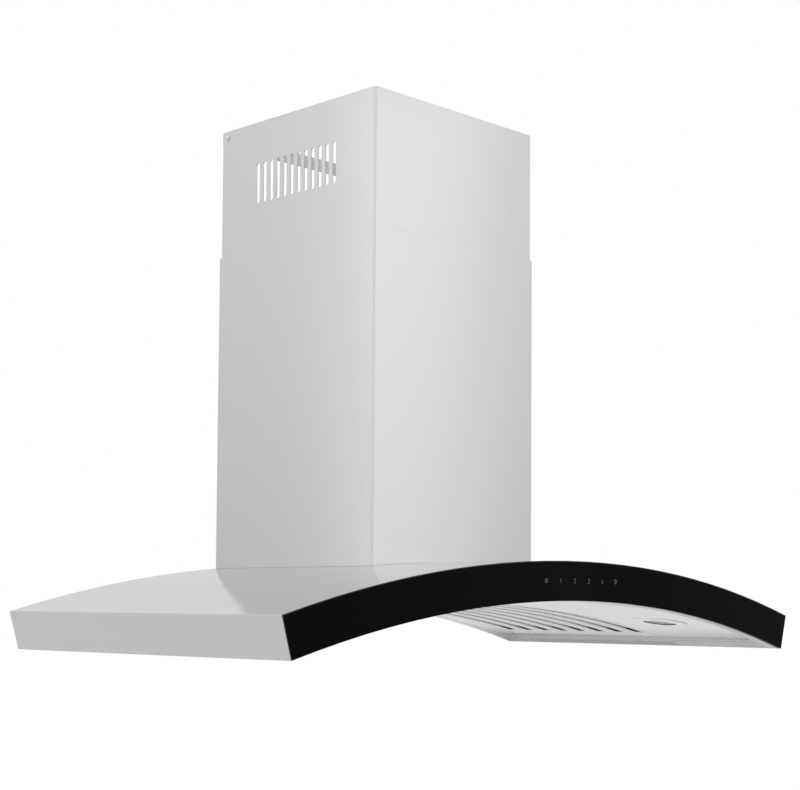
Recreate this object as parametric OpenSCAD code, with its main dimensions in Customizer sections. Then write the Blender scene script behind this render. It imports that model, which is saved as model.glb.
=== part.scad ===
// Wall mount range hood with an arched canopy, an arched black glass fascia and a
// telescoping chimney. +Z is up, the front faces -Y and the wall is the plane Y = 0.
// The origin is midway between the two hanging keyholes, on the wall.

/* [Canopy] */
// Width of the canopy across its top corners
canopy_w = 900; // [860:10:960]
// Depth of the canopy from the wall to the face of the glass
canopy_d = 480; // [470:5:520]
// Radius of the arched top
arch_r = 1650; // [1500:10:1900]
// Radial height of the canopy band, from its lower edge to its top
band_h = 46; // [44:1:50]
// Height of the hanging keyholes above the crest of the canopy
hang_h = 193; // [180:1:210]
// Thickness of the stainless sheet
sheet_t = 1; // [0.8:0.1:1.2]
// Height of the folded hem along the lower edges
hem_h = 8; // [6:0.5:9]
// Radius of the underside panel's own, flatter arch
panel_r = 2030; // [1950:10:2100]
// How far the panel's crest hangs below the crest of the lower edges
panel_drop = 2.4; // [1.5:0.1:3]
// Height of the flanges turned up round the underside panel
panel_flange = 12; // [8:1:16]

/* [Fascia] */
// Thickness of the black glass
glass_t = 5; // [4:0.5:6]
// How far the glass stands out in front of the canopy's steel edge
glass_set = 0.5; // [0.2:0.1:1]
// Width of the front lower lip, glass included
lip_w = 18; // [16:1:24]
// Height of the flange turned up along the lip
lip_flange = 14; // [12:1:16]
// Depth of the front channel's top flange
channel_flange = 15; // [10:1:20]
// Centre of the row of touch keys, right of the middle
keys_x = 9; // [0:1:20]
// Number of touch keys
key_n = 6; // [4:1:7]
// Spacing of the touch keys
key_pitch = 25.6; // [20:0.2:27]
// Radius of a touch spring
key_r = 5; // [4:0.5:6]
// Margin of the circuit board round the touch keys
board_margin = 12; // [9:1:16]
// Thickness of the circuit board
board_t = 1.6; // [1:0.2:2]
// Wall of the plastic board carrier
carrier_wall = 2; // [1.5:0.5:3]
// Gap between the board carrier and the panel's front flange
carrier_gap = 1; // [0.5:0.5:1.5]
// Height of the ribs that carry the circuit board
rib_h = 2; // [1:0.5:2]

/* [Filters] */
// Distance from the canopy's end to a filter's outer edge
filter_end = 30; // [28:1:40]
// Clearance between a filter and the opening it lies in
filter_gap = 1.2; // [1:0.1:1.5]
// Depth of the strip in front of the filters, glass included
lamp_strip = 188.5; // [186:0.5:200]
// Distance from the wall to the filters
filter_back = 24.5; // [20:0.5:28]
// Half the gap between the two filters
filter_split = 5; // [5:0.5:8]
// Thickness of a filter
filter_t = 12; // [11:0.5:14]
// Thickness of the filter's sheet
filter_sheet = 1; // [0.8:0.1:1.2]
// Number of long openings in a filter
slot_n = 8; // [6:1:8]
// Width of the baffle between two openings
baffle_w = 20; // [18:0.5:22]
// Height of a baffle's turned edge
baffle_lip = 5; // [4:0.5:6]
// How far the baffles' turned edges stop short of the filter's outer end
lip_short = 24; // [16:1:32]
// How much wider an upper baffle is than the opening under it
baffle_cover = 9.5; // [8:0.5:11]
// Height of the air gap under an upper baffle's turned edges
baffle_air = 3; // [3:0.5:4]
// Margin of the filter frame in front of and behind the openings
filter_side = 9.5; // [9:0.5:12]
// Margin of the filter frame at its two ends
filter_margin = 20; // [18:1:22]
// Width of a filter handle's strap
handle_w = 12; // [10:1:14]
// Length of a filter handle
handle_l = 84; // [70:1:110]
// Height of a filter handle
handle_h = 14; // [12:1:18]
// Thickness of a filter handle's strap
handle_t = 1.5; // [1.2:0.1:2]
// Length of a handle's foot
handle_foot = 10; // [8:1:12]
// Reach of a hinge tab over the panel
tab_reach = 9; // [6:0.5:12]
// Width of a hinge tab
tab_w = 22; // [16:1:30]
// Width of the rail over the gap between the filters
rail_w = 24; // [20:1:30]
// Height of the rail's turned edges
rail_h = 8; // [5:1:12]
// Thickness of the leaf springs that hold the filters
leaf_t = 0.5; // [0.4:0.1:0.6]
// Length of a leaf spring
leaf_l = 24; // [16:1:30]

/* [Lamps] */
// Distance from a lamp's centre to the canopy's end
lamp_end = 140; // [120:1:160]
// Distance from a lamp's centre to the front
lamp_front = 106; // [96:1:116]
// Radius of a lamp's rim
lamp_rim_r = 36.5; // [34:0.5:40]
// Radius of a lamp's lens
lamp_lens_r = 22.5; // [20:0.5:26]
// Radius of a lamp's housing
lamp_body_r = 29; // [28:0.5:30]
// Thickness of a lamp's rim
lamp_rim_t = 1.6; // [1.2:0.1:2]
// Thickness of a lamp's lens
lens_t = 2; // [1.5:0.1:3]
// How far a lamp's lens sits up inside its rim
lens_recess = 3; // [2:0.5:5]
// Height of a lamp's housing above the panel
lamp_body_h = 22; // [18:1:26]
// Number of cooling fins on a lamp
fin_n = 7; // [4:1:9]
// Thickness of a cooling fin
fin_t = 1.6; // [1.2:0.1:2]

/* [Chimney] */
// Width of the lower chimney cover
chimney_w = 290; // [286:1:310]
// Depth of the lower chimney cover
chimney_d = 290; // [286:1:310]
// Height of the lower cover above the crest of the canopy
lower_h = 400; // [380:1:460]
// Length of the upper cover
upper_l = 400; // [380:1:420]
// How far the upper cover stands out of the lower one
upper_rise = 167; // [140:1:190]
// Clearance between the two covers
cover_gap = 0.8; // [0.6:0.1:0.9]
// Width of the flanges along the wall
wall_flange = 13; // [8:1:14]
// Outer radius of the folded corners
bend_r = 2.5; // [2:0.5:4]
// Width of the tabs that stand on the canopy
foot_w = 9; // [8:0.5:9]
// Number of vent slots in each side
vent_n = 12; // [8:1:14]
// Width of a vent slot
vent_w = 6; // [4:0.5:7]
// Length of a vent slot
vent_l = 52; // [40:1:60]
// Spacing of the vent slots
vent_pitch = 13; // [12:0.2:15]
// Distance from the top of the upper cover to the vent slots
vent_drop = 53.5; // [40:0.5:70]
// Distance from the top of the upper cover to its screws
screw_drop = 8.5; // [8:0.5:14]
// Distance from the upper cover's back to its screws
screw_back = 8; // [7:0.5:14]

/* [Wall bracket] */
// Thickness of the wall bracket
bracket_t = 1.8; // [1.5:0.1:1.8]
// Spacing of the two bracket slots
bracket_pitch = 160; // [120:1:200]
// Half the width of a bracket slot
bracket_slot_r = 3; // [2.5:0.1:4]
// Length of a bracket slot, end to end
bracket_slot_l = 16; // [12:1:24]

/* [Mounting plate] */
// How far the mounting plate stands out past the blower box, each side
plate_lap = 2; // [1:0.5:6]
// Thickness of the mounting plate
plate_t = 2; // [1.5:0.1:2.5]
// Spacing of the hanging keyholes
keyhole_pitch = 200; // [180:1:210]
// Radius of a keyhole's entry
keyhole_r = 6.5; // [6:0.1:8]
// Radius of a keyhole's neck
keyhole_neck_r = 3.2; // [2.5:0.1:4]
// Height of a keyhole's neck above the middle of its entry
keyhole_neck = 13; // [11:0.5:16]
// Spacing of the two safety screw holes
safety_pitch = 180; // [160:1:200]
// Radius of a safety screw hole
safety_r = 3.2; // [2.5:0.1:4]
// Depth of the safety screw holes under the keyholes
safety_drop = 150; // [130:1:165]

/* [Blower box] */
// Gap between the blower box's foot and the lower cover's tabs
box_gap = 1; // [0.5:0.5:4]
// Distance from the wall to the front of the blower box
box_d = 264; // [260:1:268]
// Height of the blower box above the crest of the canopy
box_h = 250; // [246:1:270]
// Thickness of the galvanised sheet
box_t = 1; // [0.8:0.1:1.2]
// Width of the blower box's foot flange
box_flange = 10; // [8:1:11]
// Distance from the box's walls to the opening in the canopy
open_margin = 6; // [5:1:10]

/* [Blower] */
// Radius of the fan wheel
wheel_r = 86; // [80:1:88]
// Width of the fan wheel
wheel_w = 128; // [110:1:132]
// Depth of the fan wheel's blades
blade_d = 16; // [12:1:18]
// Radius of a blade's curve
blade_curve_r = 13; // [11:0.5:18]
// Thickness of a blade
blade_t = 0.8; // [0.6:0.1:1]
// Number of blades
blade_n = 40; // [24:1:48]
// Thickness of the wheel's middle disc and end rings
ring_t = 1.5; // [1:0.1:2]
// Radius of the wheel's hub
hub_r = 11; // [9:0.5:14]
// Length of the wheel's hub
hub_l = 22; // [16:1:26]
// Radius of the fan shaft
shaft_r = 4; // [3:0.5:5]
// Running clearance of the shaft, each side
shaft_clear = 0.05; // [0.02:0.01:0.08]
// Radius of the scroll where it starts at the tongue
scroll_r = 98; // [96:1:100]
// Growth of the scroll's radius in each quarter turn
scroll_grow = 14; // [12:0.5:15]
// Width of the scroll
scroll_w = 150; // [148:1:160]
// Height of the scroll above the crest of the canopy
scroll_lift = 10; // [6:1:12]
// Distance from the mounting plate to the scroll
scroll_back = 8; // [5:1:10]
// Radius of the round outlet in the box's top
outlet_r = 68; // [60:1:69]
// Radius of the inlet rings
inlet_r = 66; // [60:1:68]
// Radius of the inlet rings' rolled edge
inlet_roll = 5; // [3:0.5:6]
// Width of the inlet rings' flange
inlet_flange = 12; // [8:1:14]
// Radius of the motor
motor_r = 46; // [40:1:50]
// Gap between the motor and the wheel's hub
motor_gap = 3; // [2:0.5:6]
// Radius of the motor's rounded ends
motor_round = 8; // [5:1:12]
// Width of the motor bracket's arms
arm_w = 14; // [10:1:20]
// Thickness of the motor bracket
arm_t = 2.5; // [2:0.5:4]
// Radius of a rubber bush
bush_r = 8; // [6:0.5:9]
// Height of a rubber bush
bush_h = 6; // [5:0.5:9]

/* [Duct collar] */
// Outer radius of the duct collar
collar_r = 75; // [73:0.5:75]
// Height of the duct collar
collar_h = 50; // [45:1:70]
// Wall of the duct collar
collar_wall = 1.2; // [1:0.1:1.6]
// Width of the collar's flange
collar_flange = 10; // [10:0.5:11]
// Room for a duct's end between the collar and its screws
duct_room = 1.5; // [1:0.5:2]
// Height of the flap pin above the box's top
flap_h = 12; // [9:0.5:16]
// Radius of the flap pin
pin_r = 1.5; // [1.2:0.1:2]
// Running clearance of the flaps on their pin, each side
flap_clear = 0.06; // [0.03:0.01:0.09]
// Outer radius of a flap's knuckles
knuckle_r = 3; // [2.6:0.1:3.4]
// Thickness of a flap
flap_t = 0.8; // [0.6:0.1:1]
// Gap between a flap's edge and the collar
flap_gap = 1; // [0.6:0.1:2]
// Length of a knuckle
knuckle_l = 12; // [8:1:14]

/* [Electrics] */
// Width of the wiring box
wiring_w = 130; // [100:1:160]
// Depth of the wiring box
wiring_d = 62; // [50:1:64]
// Height of the wiring box
wiring_h = 48; // [40:1:60]
// Wall of the wiring box
wiring_wall = 1.5; // [1:0.1:2]
// Radius of the cable gland
gland_r = 9; // [7:0.5:11]
// Length of the cable gland's dome
gland_l = 18; // [14:1:24]
// Radius of the gland's cable hole
gland_bore_r = 4; // [3:0.5:5]
// Radius of the motor capacitor
cap_r = 14; // [10:1:16]
// Length of the motor capacitor
cap_l = 60; // [40:1:70]
// Size of the terminal block, one way
block_s = 14; // [10:1:16]
// Number of terminals
block_n = 3; // [2:1:5]
// Width of the lamp driver
driver_w = 90; // [70:1:110]
// Depth of the lamp driver
driver_d = 42; // [30:1:50]
// Height of the lamp driver
driver_h = 20; // [15:1:24]
// Length of the lamp driver's lugs
lug_l = 10; // [9:0.5:14]
// Thickness of the lamp driver's lugs
lug_t = 2; // [1.5:0.5:3]
// Height of the lid's turned-down edge
lid_lip = 6; // [4:1:9]

/* [Screws] */
// Radius of a small screw's thread
screw_r = 1.9; // [1.5:0.1:2]
// Radius of a small screw's head
screw_head_r = 3.8; // [3.2:0.1:4]
// Height of a small screw's head
screw_head_h = 2.4; // [2:0.1:3]
// Length of a screw past the sheets that it joins
screw_past = 3; // [2:0.5:4]

/* [Hidden] */

// Roundness of the great arcs and of the small rounds
ARC = 720;
RND = 64;
// Overrun of a cutter past the face that it cuts
CUT = 1;
// Contact gap between pieces of different bodies
NEAR = 0.3;

// Arch: the band lies between rim_r and arch_r, about a centre far below the hood
rim_r = arch_r - band_h;
half_a = asin(canopy_w / 2 / arch_r);
crest_z = -hang_h;
arch_z = crest_z - arch_r;
top_in_r = arch_r - sheet_t;
// The underside panel and its filters follow a flatter arch about a centre of their own
panel_z = crest_z - band_h - panel_drop - panel_r;
panel_top_r = panel_r + sheet_t;
web_y = -(canopy_d - glass_t);
lip_y = -(canopy_d - lip_w);

// Filters
filter_x = canopy_w / 2 - filter_end;
filter_d = canopy_d - lamp_strip - filter_back;
window_d = filter_d - 2 * filter_side;
slot_w = (window_d - (slot_n - 1) * baffle_w) / slot_n;
slot_pitch = slot_w + baffle_w;
upper_baffle_w = slot_w + baffle_cover;
filter_y = -filter_back;
window_y = filter_y - filter_side;
filter_top_r = panel_r + filter_t;
open_x = filter_x + filter_gap;
open_y = filter_y + filter_gap;
open_d = filter_d + 2 * filter_gap;
rail_r = filter_top_r + NEAR;
handle_x = filter_split + filter_margin / 2;
handle_mid_y = filter_y - filter_d / 2;
tab_near = filter_d / 5;

// Lamps
lamp_x = canopy_w / 2 - lamp_end;
lamp_y = -(canopy_d - lamp_front);
lamp_seat_r = sqrt(panel_r * panel_r - lamp_rim_r * lamp_rim_r);
lamp_hole_r = lamp_body_r + NEAR;

// Chimney covers
lower_top = crest_z + lower_h;
upper_top = lower_top + upper_rise;
cover_step = sheet_t + cover_gap;
upper_cover_w = chimney_w - 2 * cover_step;
upper_y = -cover_step;
upper_front = -(chimney_d - cover_step);
vent_y = (upper_y + upper_front) / 2;
screw_z = upper_top - screw_drop;
cover_screw_y = upper_y - screw_back;
bracket_y = upper_y - sheet_t;
bracket_h = 2 * screw_drop;

// Blower box, scroll and duct
box_w = chimney_w - 2 * (sheet_t + foot_w + box_gap + box_flange);
plate_w = box_w + 2 * plate_lap;
box_top = crest_z + box_h;
scroll_c = scroll_r + scroll_grow;
scroll_end_r = scroll_r + 2 * scroll_grow;
scroll_a_y = -(plate_t + scroll_back + scroll_r);
scroll_b_y = scroll_a_y - scroll_grow;
scroll_a_z = crest_z + scroll_lift + scroll_end_r - scroll_grow;
scroll_c_z = scroll_a_z + scroll_grow;
scroll_front_y = scroll_b_y - scroll_end_r;
wheel_y = scroll_a_y - scroll_grow / 2;
wheel_z = scroll_a_z + scroll_grow / 2;
blade_in_r = wheel_r - blade_d;
duct_y = (scroll_a_y + scroll_front_y) / 2;
duct_screw_r = collar_r + duct_room + screw_head_r;
plate_front = -plate_t;
flap_z = box_top + flap_h;
flap_r = collar_r - collar_wall - flap_gap;
motor_x = -(hub_l / 2 + motor_gap);
bracket_x = -(scroll_w / 2 + bush_h + arm_t);
motor_l = motor_x - bracket_x + motor_round + 1;
foot_r = inlet_r + inlet_roll + inlet_flange + bush_r + 1;
BUSHES = [for (a = [40, 160, 280]) [wheel_y - foot_r * sin(a), wheel_z + foot_r * cos(a)]];

// Electrics
wiring_x = -box_w / 2 + wiring_w / 2 + 3;
gland_x = wiring_x - wiring_w / 4;
board_w = (key_n - 1) * key_pitch + 2 * board_margin;
board_h = 2 * key_r + board_margin;
key_z = arch_z + (rim_r + arch_r) / 2;
carrier_d = lip_w - glass_t - 2 * sheet_t - carrier_gap;
board_y = web_y + sheet_t + carrier_d - carrier_wall - rib_h;
hole_r = screw_r + NEAR / 2;

// A figure drawn about an arch's centre, pushed from y towards the front
module push_front(y, depth, centre = arch_z)
    translate([0, y, centre]) rotate([90, 0, 0]) linear_extrude(depth) children();

// A figure drawn in the Y-Z plane and pushed along +X from x
module push_right(x, width)
    translate([x, 0, 0]) rotate([90, 0, 90]) linear_extrude(width) children();

// The ring between two radii
module ring(r_in, r_out, fn = ARC) difference() {
    circle(r_out, $fn = fn);
    circle(r_in, $fn = fn);
}

// The sector between the canopy's ends, with both ends moved in
module sector(inset) {
    reach = 1.1 * arch_r;
    side = [reach * sin(half_a) - inset * cos(half_a), reach * cos(half_a) + inset * sin(half_a)];
    polygon([[0, inset / sin(half_a)], side, [-side[0], side[1]]]);
}

// A ring about the underside panel's centre, in a figure drawn about the canopy's
module panel_ring(r_in, r_out) translate([0, panel_z - arch_z]) ring(r_in, r_out);

// A curved plate between two radii and two distances from the middle, along the panel's arch
module curved_plate(r_in, r_out, x0, x1, y, depth, centre = panel_z)
    push_front(y, depth, centre) intersection() {
        ring(r_in, r_out);
        translate([x0, arch_r / 2]) square([x1 - x0, arch_r]);
    }

// A piece stood on an arch: its foot at radius r, at distance x from the middle
module on_arch(x, y, r, centre = arch_z)
    translate([0, y, centre]) rotate([0, asin(x / r), 0]) translate([0, 0, r]) children();

// The inner section of the band, clear of the folded hems
module inner_section() intersection() {
    ring(rim_r, top_in_r);
    difference() {
        sector(sheet_t);
        difference() {
            circle(rim_r + hem_h, $fn = ARC);
            sector(2 * sheet_t);
        }
    }
}

// A screw with its head's underside at the origin, head towards +Z
module screw(length) {
    cylinder(r = screw_head_r, h = screw_head_h, $fn = RND);
    translate([0, 0, -length]) cylinder(r = screw_r, h = length, $fn = RND);
}

// Places on the canopy's top where the blower box is screwed down
BOX_SCREWS = [for (side = [-1, 1], part = [0.2, 0.5, 0.85])
    [side * (box_w + box_flange) / 2, -part * box_d]];
// Places where the lower cover's tabs are screwed down
COVER_SCREWS = [for (side = [-1, 1], part = [0.15, 0.85])
    [side * (chimney_w / 2 - sheet_t - foot_w / 2), -part * chimney_d]];

module canopy_shell() color("silver") difference() {
    union() {
        push_front(0, canopy_d - glass_set) difference() {
            intersection() {
                ring(rim_r, arch_r);
                sector(0);
            }
            intersection() {
                circle(top_in_r, $fn = ARC);
                sector(sheet_t);
            }
        }
        push_front(0, canopy_d - glass_t) intersection() {
            ring(rim_r, rim_r + hem_h);
            difference() {
                sector(sheet_t / 2);
                sector(2 * sheet_t);
            }
        }
    }
    blower_opening();
    for (p = concat(BOX_SCREWS, COVER_SCREWS)) on_arch(p[0], p[1], arch_r)
        translate([0, 0, -sheet_t - CUT])
            cylinder(r = hole_r, h = sheet_t + 2 * CUT, $fn = RND);
}

// The opening through the canopy's top into the blower box
module blower_opening() {
    w = box_w - 2 * (box_t + open_margin);
    d = box_d - plate_t - box_t - 2 * open_margin;
    translate([-w / 2, plate_front - open_margin - d, crest_z - band_h / 2])
        cube([w, d, band_h]);
}

module rear_panel() color("silver") push_front(0, sheet_t) inner_section();

module front_channel() color("gray") difference() {
    union() {
        push_front(web_y + sheet_t, sheet_t) inner_section();
        push_front(lip_y, lip_w - glass_t) intersection() {
            ring(rim_r, rim_r + sheet_t);
            sector(2 * sheet_t);
        }
        push_front(lip_y, sheet_t) intersection() {
            ring(rim_r, rim_r + lip_flange);
            sector(2 * sheet_t);
        }
        push_front(web_y + channel_flange, channel_flange) intersection() {
            ring(top_in_r - sheet_t, top_in_r);
            sector(sheet_t);
        }
    }
    translate([keys_x - board_w / 2, web_y - CUT, key_z - board_h / 2])
        cube([board_w, sheet_t + 2 * CUT, board_h]);
}

module fascia_glass() color("black") push_front(web_y, glass_t) intersection() {
    ring(rim_r, top_in_r);
    sector(sheet_t);
}

module board_carrier() color("dimgray") {
    y = web_y + sheet_t;
    difference() {
        translate([keys_x - board_w / 2 - carrier_wall, y, key_z - board_h / 2 - carrier_wall])
            cube([board_w + 2 * carrier_wall, carrier_d, board_h + 2 * carrier_wall]);
        translate([keys_x - board_w / 2, y - CUT, key_z - board_h / 2])
            cube([board_w, carrier_d - carrier_wall + CUT, board_h]);
    }
}

// The circuit board stands on ribs that leave room for its parts
module control_board() color("green") {
    translate([keys_x - board_w / 2 + NEAR, board_y - board_t, key_z - board_h / 2 + NEAR])
        cube([board_w - 2 * NEAR, board_t, board_h - 2 * NEAR]);
    for (side = [-1, 1]) translate([keys_x + side * (board_w - board_margin) / 2 - rib_h,
        board_y, key_z - board_h / 2 + NEAR]) cube([2 * rib_h, rib_h, board_h - 2 * NEAR]);
}

module touch_springs() color("gold") for (k = [0 : key_n - 1])
    translate([keys_x + (k - (key_n - 1) / 2) * key_pitch, web_y, key_z]) rotate([-90, 0, 0])
        cylinder(r = key_r, h = board_y - board_t - web_y, $fn = RND);

module underside_panel() color("gainsboro") difference() {
    union() {
        push_front(-sheet_t, canopy_d - lip_w - sheet_t) intersection() {
            panel_ring(panel_r, panel_top_r);
            sector(sheet_t);
        }
        push_front(-sheet_t, canopy_d - lip_w - sheet_t) intersection() {
            panel_ring(panel_r, panel_r + panel_flange);
            difference() {
                sector(sheet_t);
                sector(2 * sheet_t);
            }
        }
        for (y = [-sheet_t, lip_y + sheet_t]) push_front(y, sheet_t) intersection() {
            panel_ring(panel_r, panel_r + panel_flange);
            sector(sheet_t);
        }
    }
    translate([-open_x, open_y - open_d, crest_z - arch_r / 4])
        cube([2 * open_x, open_d, arch_r / 2]);
    for (side = [-1, 1]) on_arch(side * lamp_x, lamp_y, panel_r, panel_z)
        translate([0, 0, -CUT]) cylinder(r = lamp_hole_r, h = sheet_t + 2 * CUT, $fn = RND);
    for (p = DRIVER_SCREWS) on_arch(p[0], p[1], panel_r, panel_z)
        translate([0, 0, -CUT]) cylinder(r = hole_r, h = sheet_t + 2 * CUT, $fn = RND);
}

// The rail over the gap between the filters, with a leg down to the panel at each end
module filter_rail() color("silver") {
    back = -2 * sheet_t;
    front = open_y - open_d - rail_h;
    half = rail_w / 2;
    difference() {
        curved_plate(rail_r, rail_r + rail_h, -half, half, back, back - front);
        curved_plate(rail_r + sheet_t, rail_r + rail_h + CUT, -half + sheet_t, half - sheet_t,
            back + CUT, back - front + 2 * CUT);
    }
    for (y = [back, front + sheet_t])
        curved_plate(panel_top_r, rail_r, -half, half, y, sheet_t);
}

// Leaf springs stand on the panel, against the filters' front and back walls
module filter_springs() color("lightsteelblue") for (side = [-1, 1], back = [false, true]) {
    x = side * (filter_split + filter_margin + leaf_l / 2);
    blade_y = back ? filter_y + NEAR + leaf_t : filter_y - filter_d - NEAR;
    foot_y = back ? blade_y + leaf_l / 4 : blade_y;
    curved_plate(panel_top_r, filter_top_r, x - leaf_l / 2, x + leaf_l / 2, blade_y, leaf_t);
    curved_plate(panel_top_r, panel_top_r + leaf_t, x - leaf_l / 2, x + leaf_l / 2,
        foot_y, leaf_l / 4 + leaf_t);
}

module lamp_place(side) on_arch(side * lamp_x, lamp_y, panel_r, panel_z)
    translate([0, 0, lamp_seat_r - panel_r]) children();

// A turned ring with a collar inside it that backs the lens
module lamp_rim(side) color("silver") lamp_place(side) rotate_extrude($fn = RND)
    polygon([[lamp_lens_r, -lamp_rim_t / 2], [lamp_lens_r + lamp_rim_t / 2, -lamp_rim_t],
        [lamp_rim_r - lamp_rim_t, -lamp_rim_t], [lamp_rim_r, -lamp_rim_t / 3],
        [lamp_rim_r, 0], [lamp_lens_r + lamp_rim_t, 0],
        [lamp_lens_r + lamp_rim_t, lens_recess], [lamp_lens_r, lens_recess]]);

module lamp_lens(side) color("white") lamp_place(side) translate([0, 0, lens_recess])
    cylinder(r = lamp_lens_r + lamp_rim_t, h = lens_t, $fn = RND);

module lamp_housing(side) color("dimgray") lamp_place(side) {
    seat_r = lamp_lens_r + lamp_rim_t;
    seat_h = lens_recess + lens_t;
    base_h = seat_h + lamp_body_h / 3;
    difference() {
        cylinder(r = lamp_body_r, h = base_h, $fn = RND);
        translate([0, 0, -CUT]) cylinder(r = seat_r, h = seat_h + CUT, $fn = RND);
        cylinder(r = lamp_lens_r, h = base_h - fin_t, $fn = RND);
    }
    intersection() {
        translate([0, 0, base_h]) cylinder(r = lamp_body_r, h = lamp_body_h - base_h, $fn = RND);
        for (k = [0 : fin_n - 1])
            translate([(k - (fin_n - 1) / 2) * 2 * lamp_body_r / fin_n - fin_t / 2,
                -lamp_body_r, 0]) cube([fin_t, 2 * lamp_body_r, lamp_body_h]);
    }
}

// Places of the lamp driver's two screws
DRIVER_SCREWS = [for (side = [-1, 1]) [side * (driver_w + lug_l) / 2, lamp_y]];

// The driver lies on the underside panel, midway between the lamps
module lamp_driver() color("whitesmoke") {
    w = driver_w / 2;
    push_front(lamp_y + driver_d / 2, driver_d, panel_z) difference() {
        translate([-w, panel_r - sheet_t]) square([2 * w, panel_top_r + driver_h - panel_r]);
        circle(panel_top_r, $fn = ARC);
    }
    difference() {
        curved_plate(panel_top_r, panel_top_r + lug_t, -w - lug_l, w + lug_l, lamp_y + lug_l,
            2 * lug_l);
        translate([-w, lamp_y - driver_d, crest_z - 2 * band_h])
            cube([2 * w, 2 * driver_d, 2 * band_h]);
        for (p = DRIVER_SCREWS) on_arch(p[0], p[1], panel_top_r, panel_z)
            translate([0, 0, -CUT]) cylinder(r = hole_r, h = lug_t + 2 * CUT, $fn = RND);
    }
}

// A keyhole: a round entry with a neck above it
module keyhole() rotate([90, 0, 0]) {
    cylinder(r = keyhole_r, h = plate_t + 2 * CUT, $fn = RND);
    translate([-keyhole_neck_r, 0, 0])
        cube([2 * keyhole_neck_r, keyhole_neck, plate_t + 2 * CUT]);
    translate([0, keyhole_neck, 0])
        cylinder(r = keyhole_neck_r, h = plate_t + 2 * CUT, $fn = RND);
}

module mounting_plate() color("lightgray") difference() {
    push_front(0, plate_t) difference() {
        translate([-plate_w / 2, arch_r / 2]) square([plate_w, box_top - arch_z - arch_r / 2]);
        circle(arch_r, $fn = ARC);
    }
    for (side = [-1, 1]) {
        translate([side * keyhole_pitch / 2, CUT, 0]) keyhole();
        translate([side * safety_pitch / 2, CUT, -safety_drop]) rotate([90, 0, 0])
            cylinder(r = safety_r, h = plate_t + 2 * CUT, $fn = RND);
    }
}

module blower_box() color("lightgray") difference() {
    union() {
        translate([-box_w / 2, -box_d, crest_z - band_h / 2])
            cube([box_w, box_d - plate_t, box_h + band_h / 2]);
        curved_plate(arch_r, arch_r + box_t, -box_w / 2 - box_flange, box_w / 2 + box_flange,
            plate_front, box_d - plate_t + box_flange, arch_z);
    }
    translate([-box_w / 2 + box_t, -box_d + box_t, crest_z - band_h])
        cube([box_w - 2 * box_t, box_d, box_h + band_h - box_t]);
    push_front(CUT, box_d + 2 * box_flange) circle(arch_r, $fn = ARC);
    translate([0, duct_y, box_top - box_t - CUT])
        cylinder(r = outlet_r, h = box_t + 2 * CUT, $fn = RND);
    for (p = BOX_SCREWS) on_arch(p[0], p[1], arch_r) translate([0, 0, -CUT])
        cylinder(r = hole_r, h = box_t + 2 * CUT, $fn = RND);
}

// Outline of the scroll in the Y-Z plane: three quarter arcs that grow, then the throat
module scroll_figure(inset) {
    over = inset > 0 ? CUT : 0;
    far = 2 * scroll_end_r;
    top = box_top - box_t + over;
    intersection() {
        translate([scroll_a_y, scroll_a_z]) circle(scroll_r - inset, $fn = 2 * RND);
        translate([scroll_a_y, scroll_a_z]) square(far);
    }
    intersection() {
        translate([scroll_b_y, scroll_a_z]) circle(scroll_c - inset, $fn = 2 * RND);
        translate([scroll_b_y, scroll_a_z - far]) square(far);
    }
    intersection() {
        translate([scroll_b_y, scroll_c_z]) circle(scroll_end_r - inset, $fn = 2 * RND);
        translate([scroll_b_y - far, scroll_c_z - far]) square(far);
    }
    polygon([[scroll_a_y - inset, top], [scroll_front_y + inset, top],
        [scroll_front_y + inset, scroll_c_z], [scroll_b_y, scroll_c_z],
        [scroll_b_y, scroll_a_z], [scroll_a_y, scroll_a_z],
        [scroll_a_y, scroll_a_z + scroll_r - inset],
        [scroll_a_y - inset, scroll_a_z + scroll_r - inset]]);
}

module fan_scroll() color("silver")
    push_right(-scroll_w / 2 + box_t, scroll_w - 2 * box_t) difference() {
        scroll_figure(0);
        scroll_figure(box_t);
    }

// A side of the scroll with its round inlet; the left one carries the motor's bracket
module scroll_side(side) color("silver")
    push_right(side * (scroll_w - box_t) / 2 - box_t / 2, box_t) difference() {
        scroll_figure(0);
        translate([wheel_y, wheel_z]) circle(inlet_r + inlet_roll, $fn = 2 * RND);
        if (side < 0) bush_holes();
    }

// The three screw holes of the motor bracket, in the Y-Z plane
module bush_holes() for (p = BUSHES) translate(p) circle(hole_r, $fn = RND);

// A bell mouth on the outside of the scroll, with its lip rolled inwards
module inlet_ring(side) color("gainsboro") translate([side * scroll_w / 2, wheel_y, wheel_z])
    rotate([0, side * 90, 0]) rotate_extrude($fn = 2 * RND) {
        translate([inlet_r + inlet_roll, 0]) square([inlet_flange, box_t]);
        intersection() {
            translate([inlet_r + inlet_roll, box_t - inlet_roll]) difference() {
                circle(inlet_roll, $fn = RND);
                circle(inlet_roll - box_t, $fn = RND);
            }
            translate([inlet_r, box_t - inlet_roll]) square(inlet_roll);
        }
        translate([inlet_r, box_t - 2 * inlet_roll]) square([box_t, inlet_roll]);
    }

module motor() color("dimgray") translate([motor_x, wheel_y, wheel_z]) rotate([0, -90, 0])
    difference() {
        rotate_extrude($fn = 2 * RND) {
            square([motor_r - motor_round, motor_l]);
            translate([0, motor_round]) square([motor_r, motor_l - 2 * motor_round]);
            for (z = [motor_round, motor_l - motor_round])
                translate([motor_r - motor_round, z]) circle(motor_round, $fn = RND);
        }
        translate([0, 0, -CUT])
            cylinder(r = shaft_r + shaft_clear, h = motor_l / 2 + CUT, $fn = RND);
        for (k = [0 : 9]) rotate([0, 0, 36 * k])
            translate([motor_r / 2, -2, motor_l - 3]) cube([motor_r / 3, 4, 3 + CUT]);
    }

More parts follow.
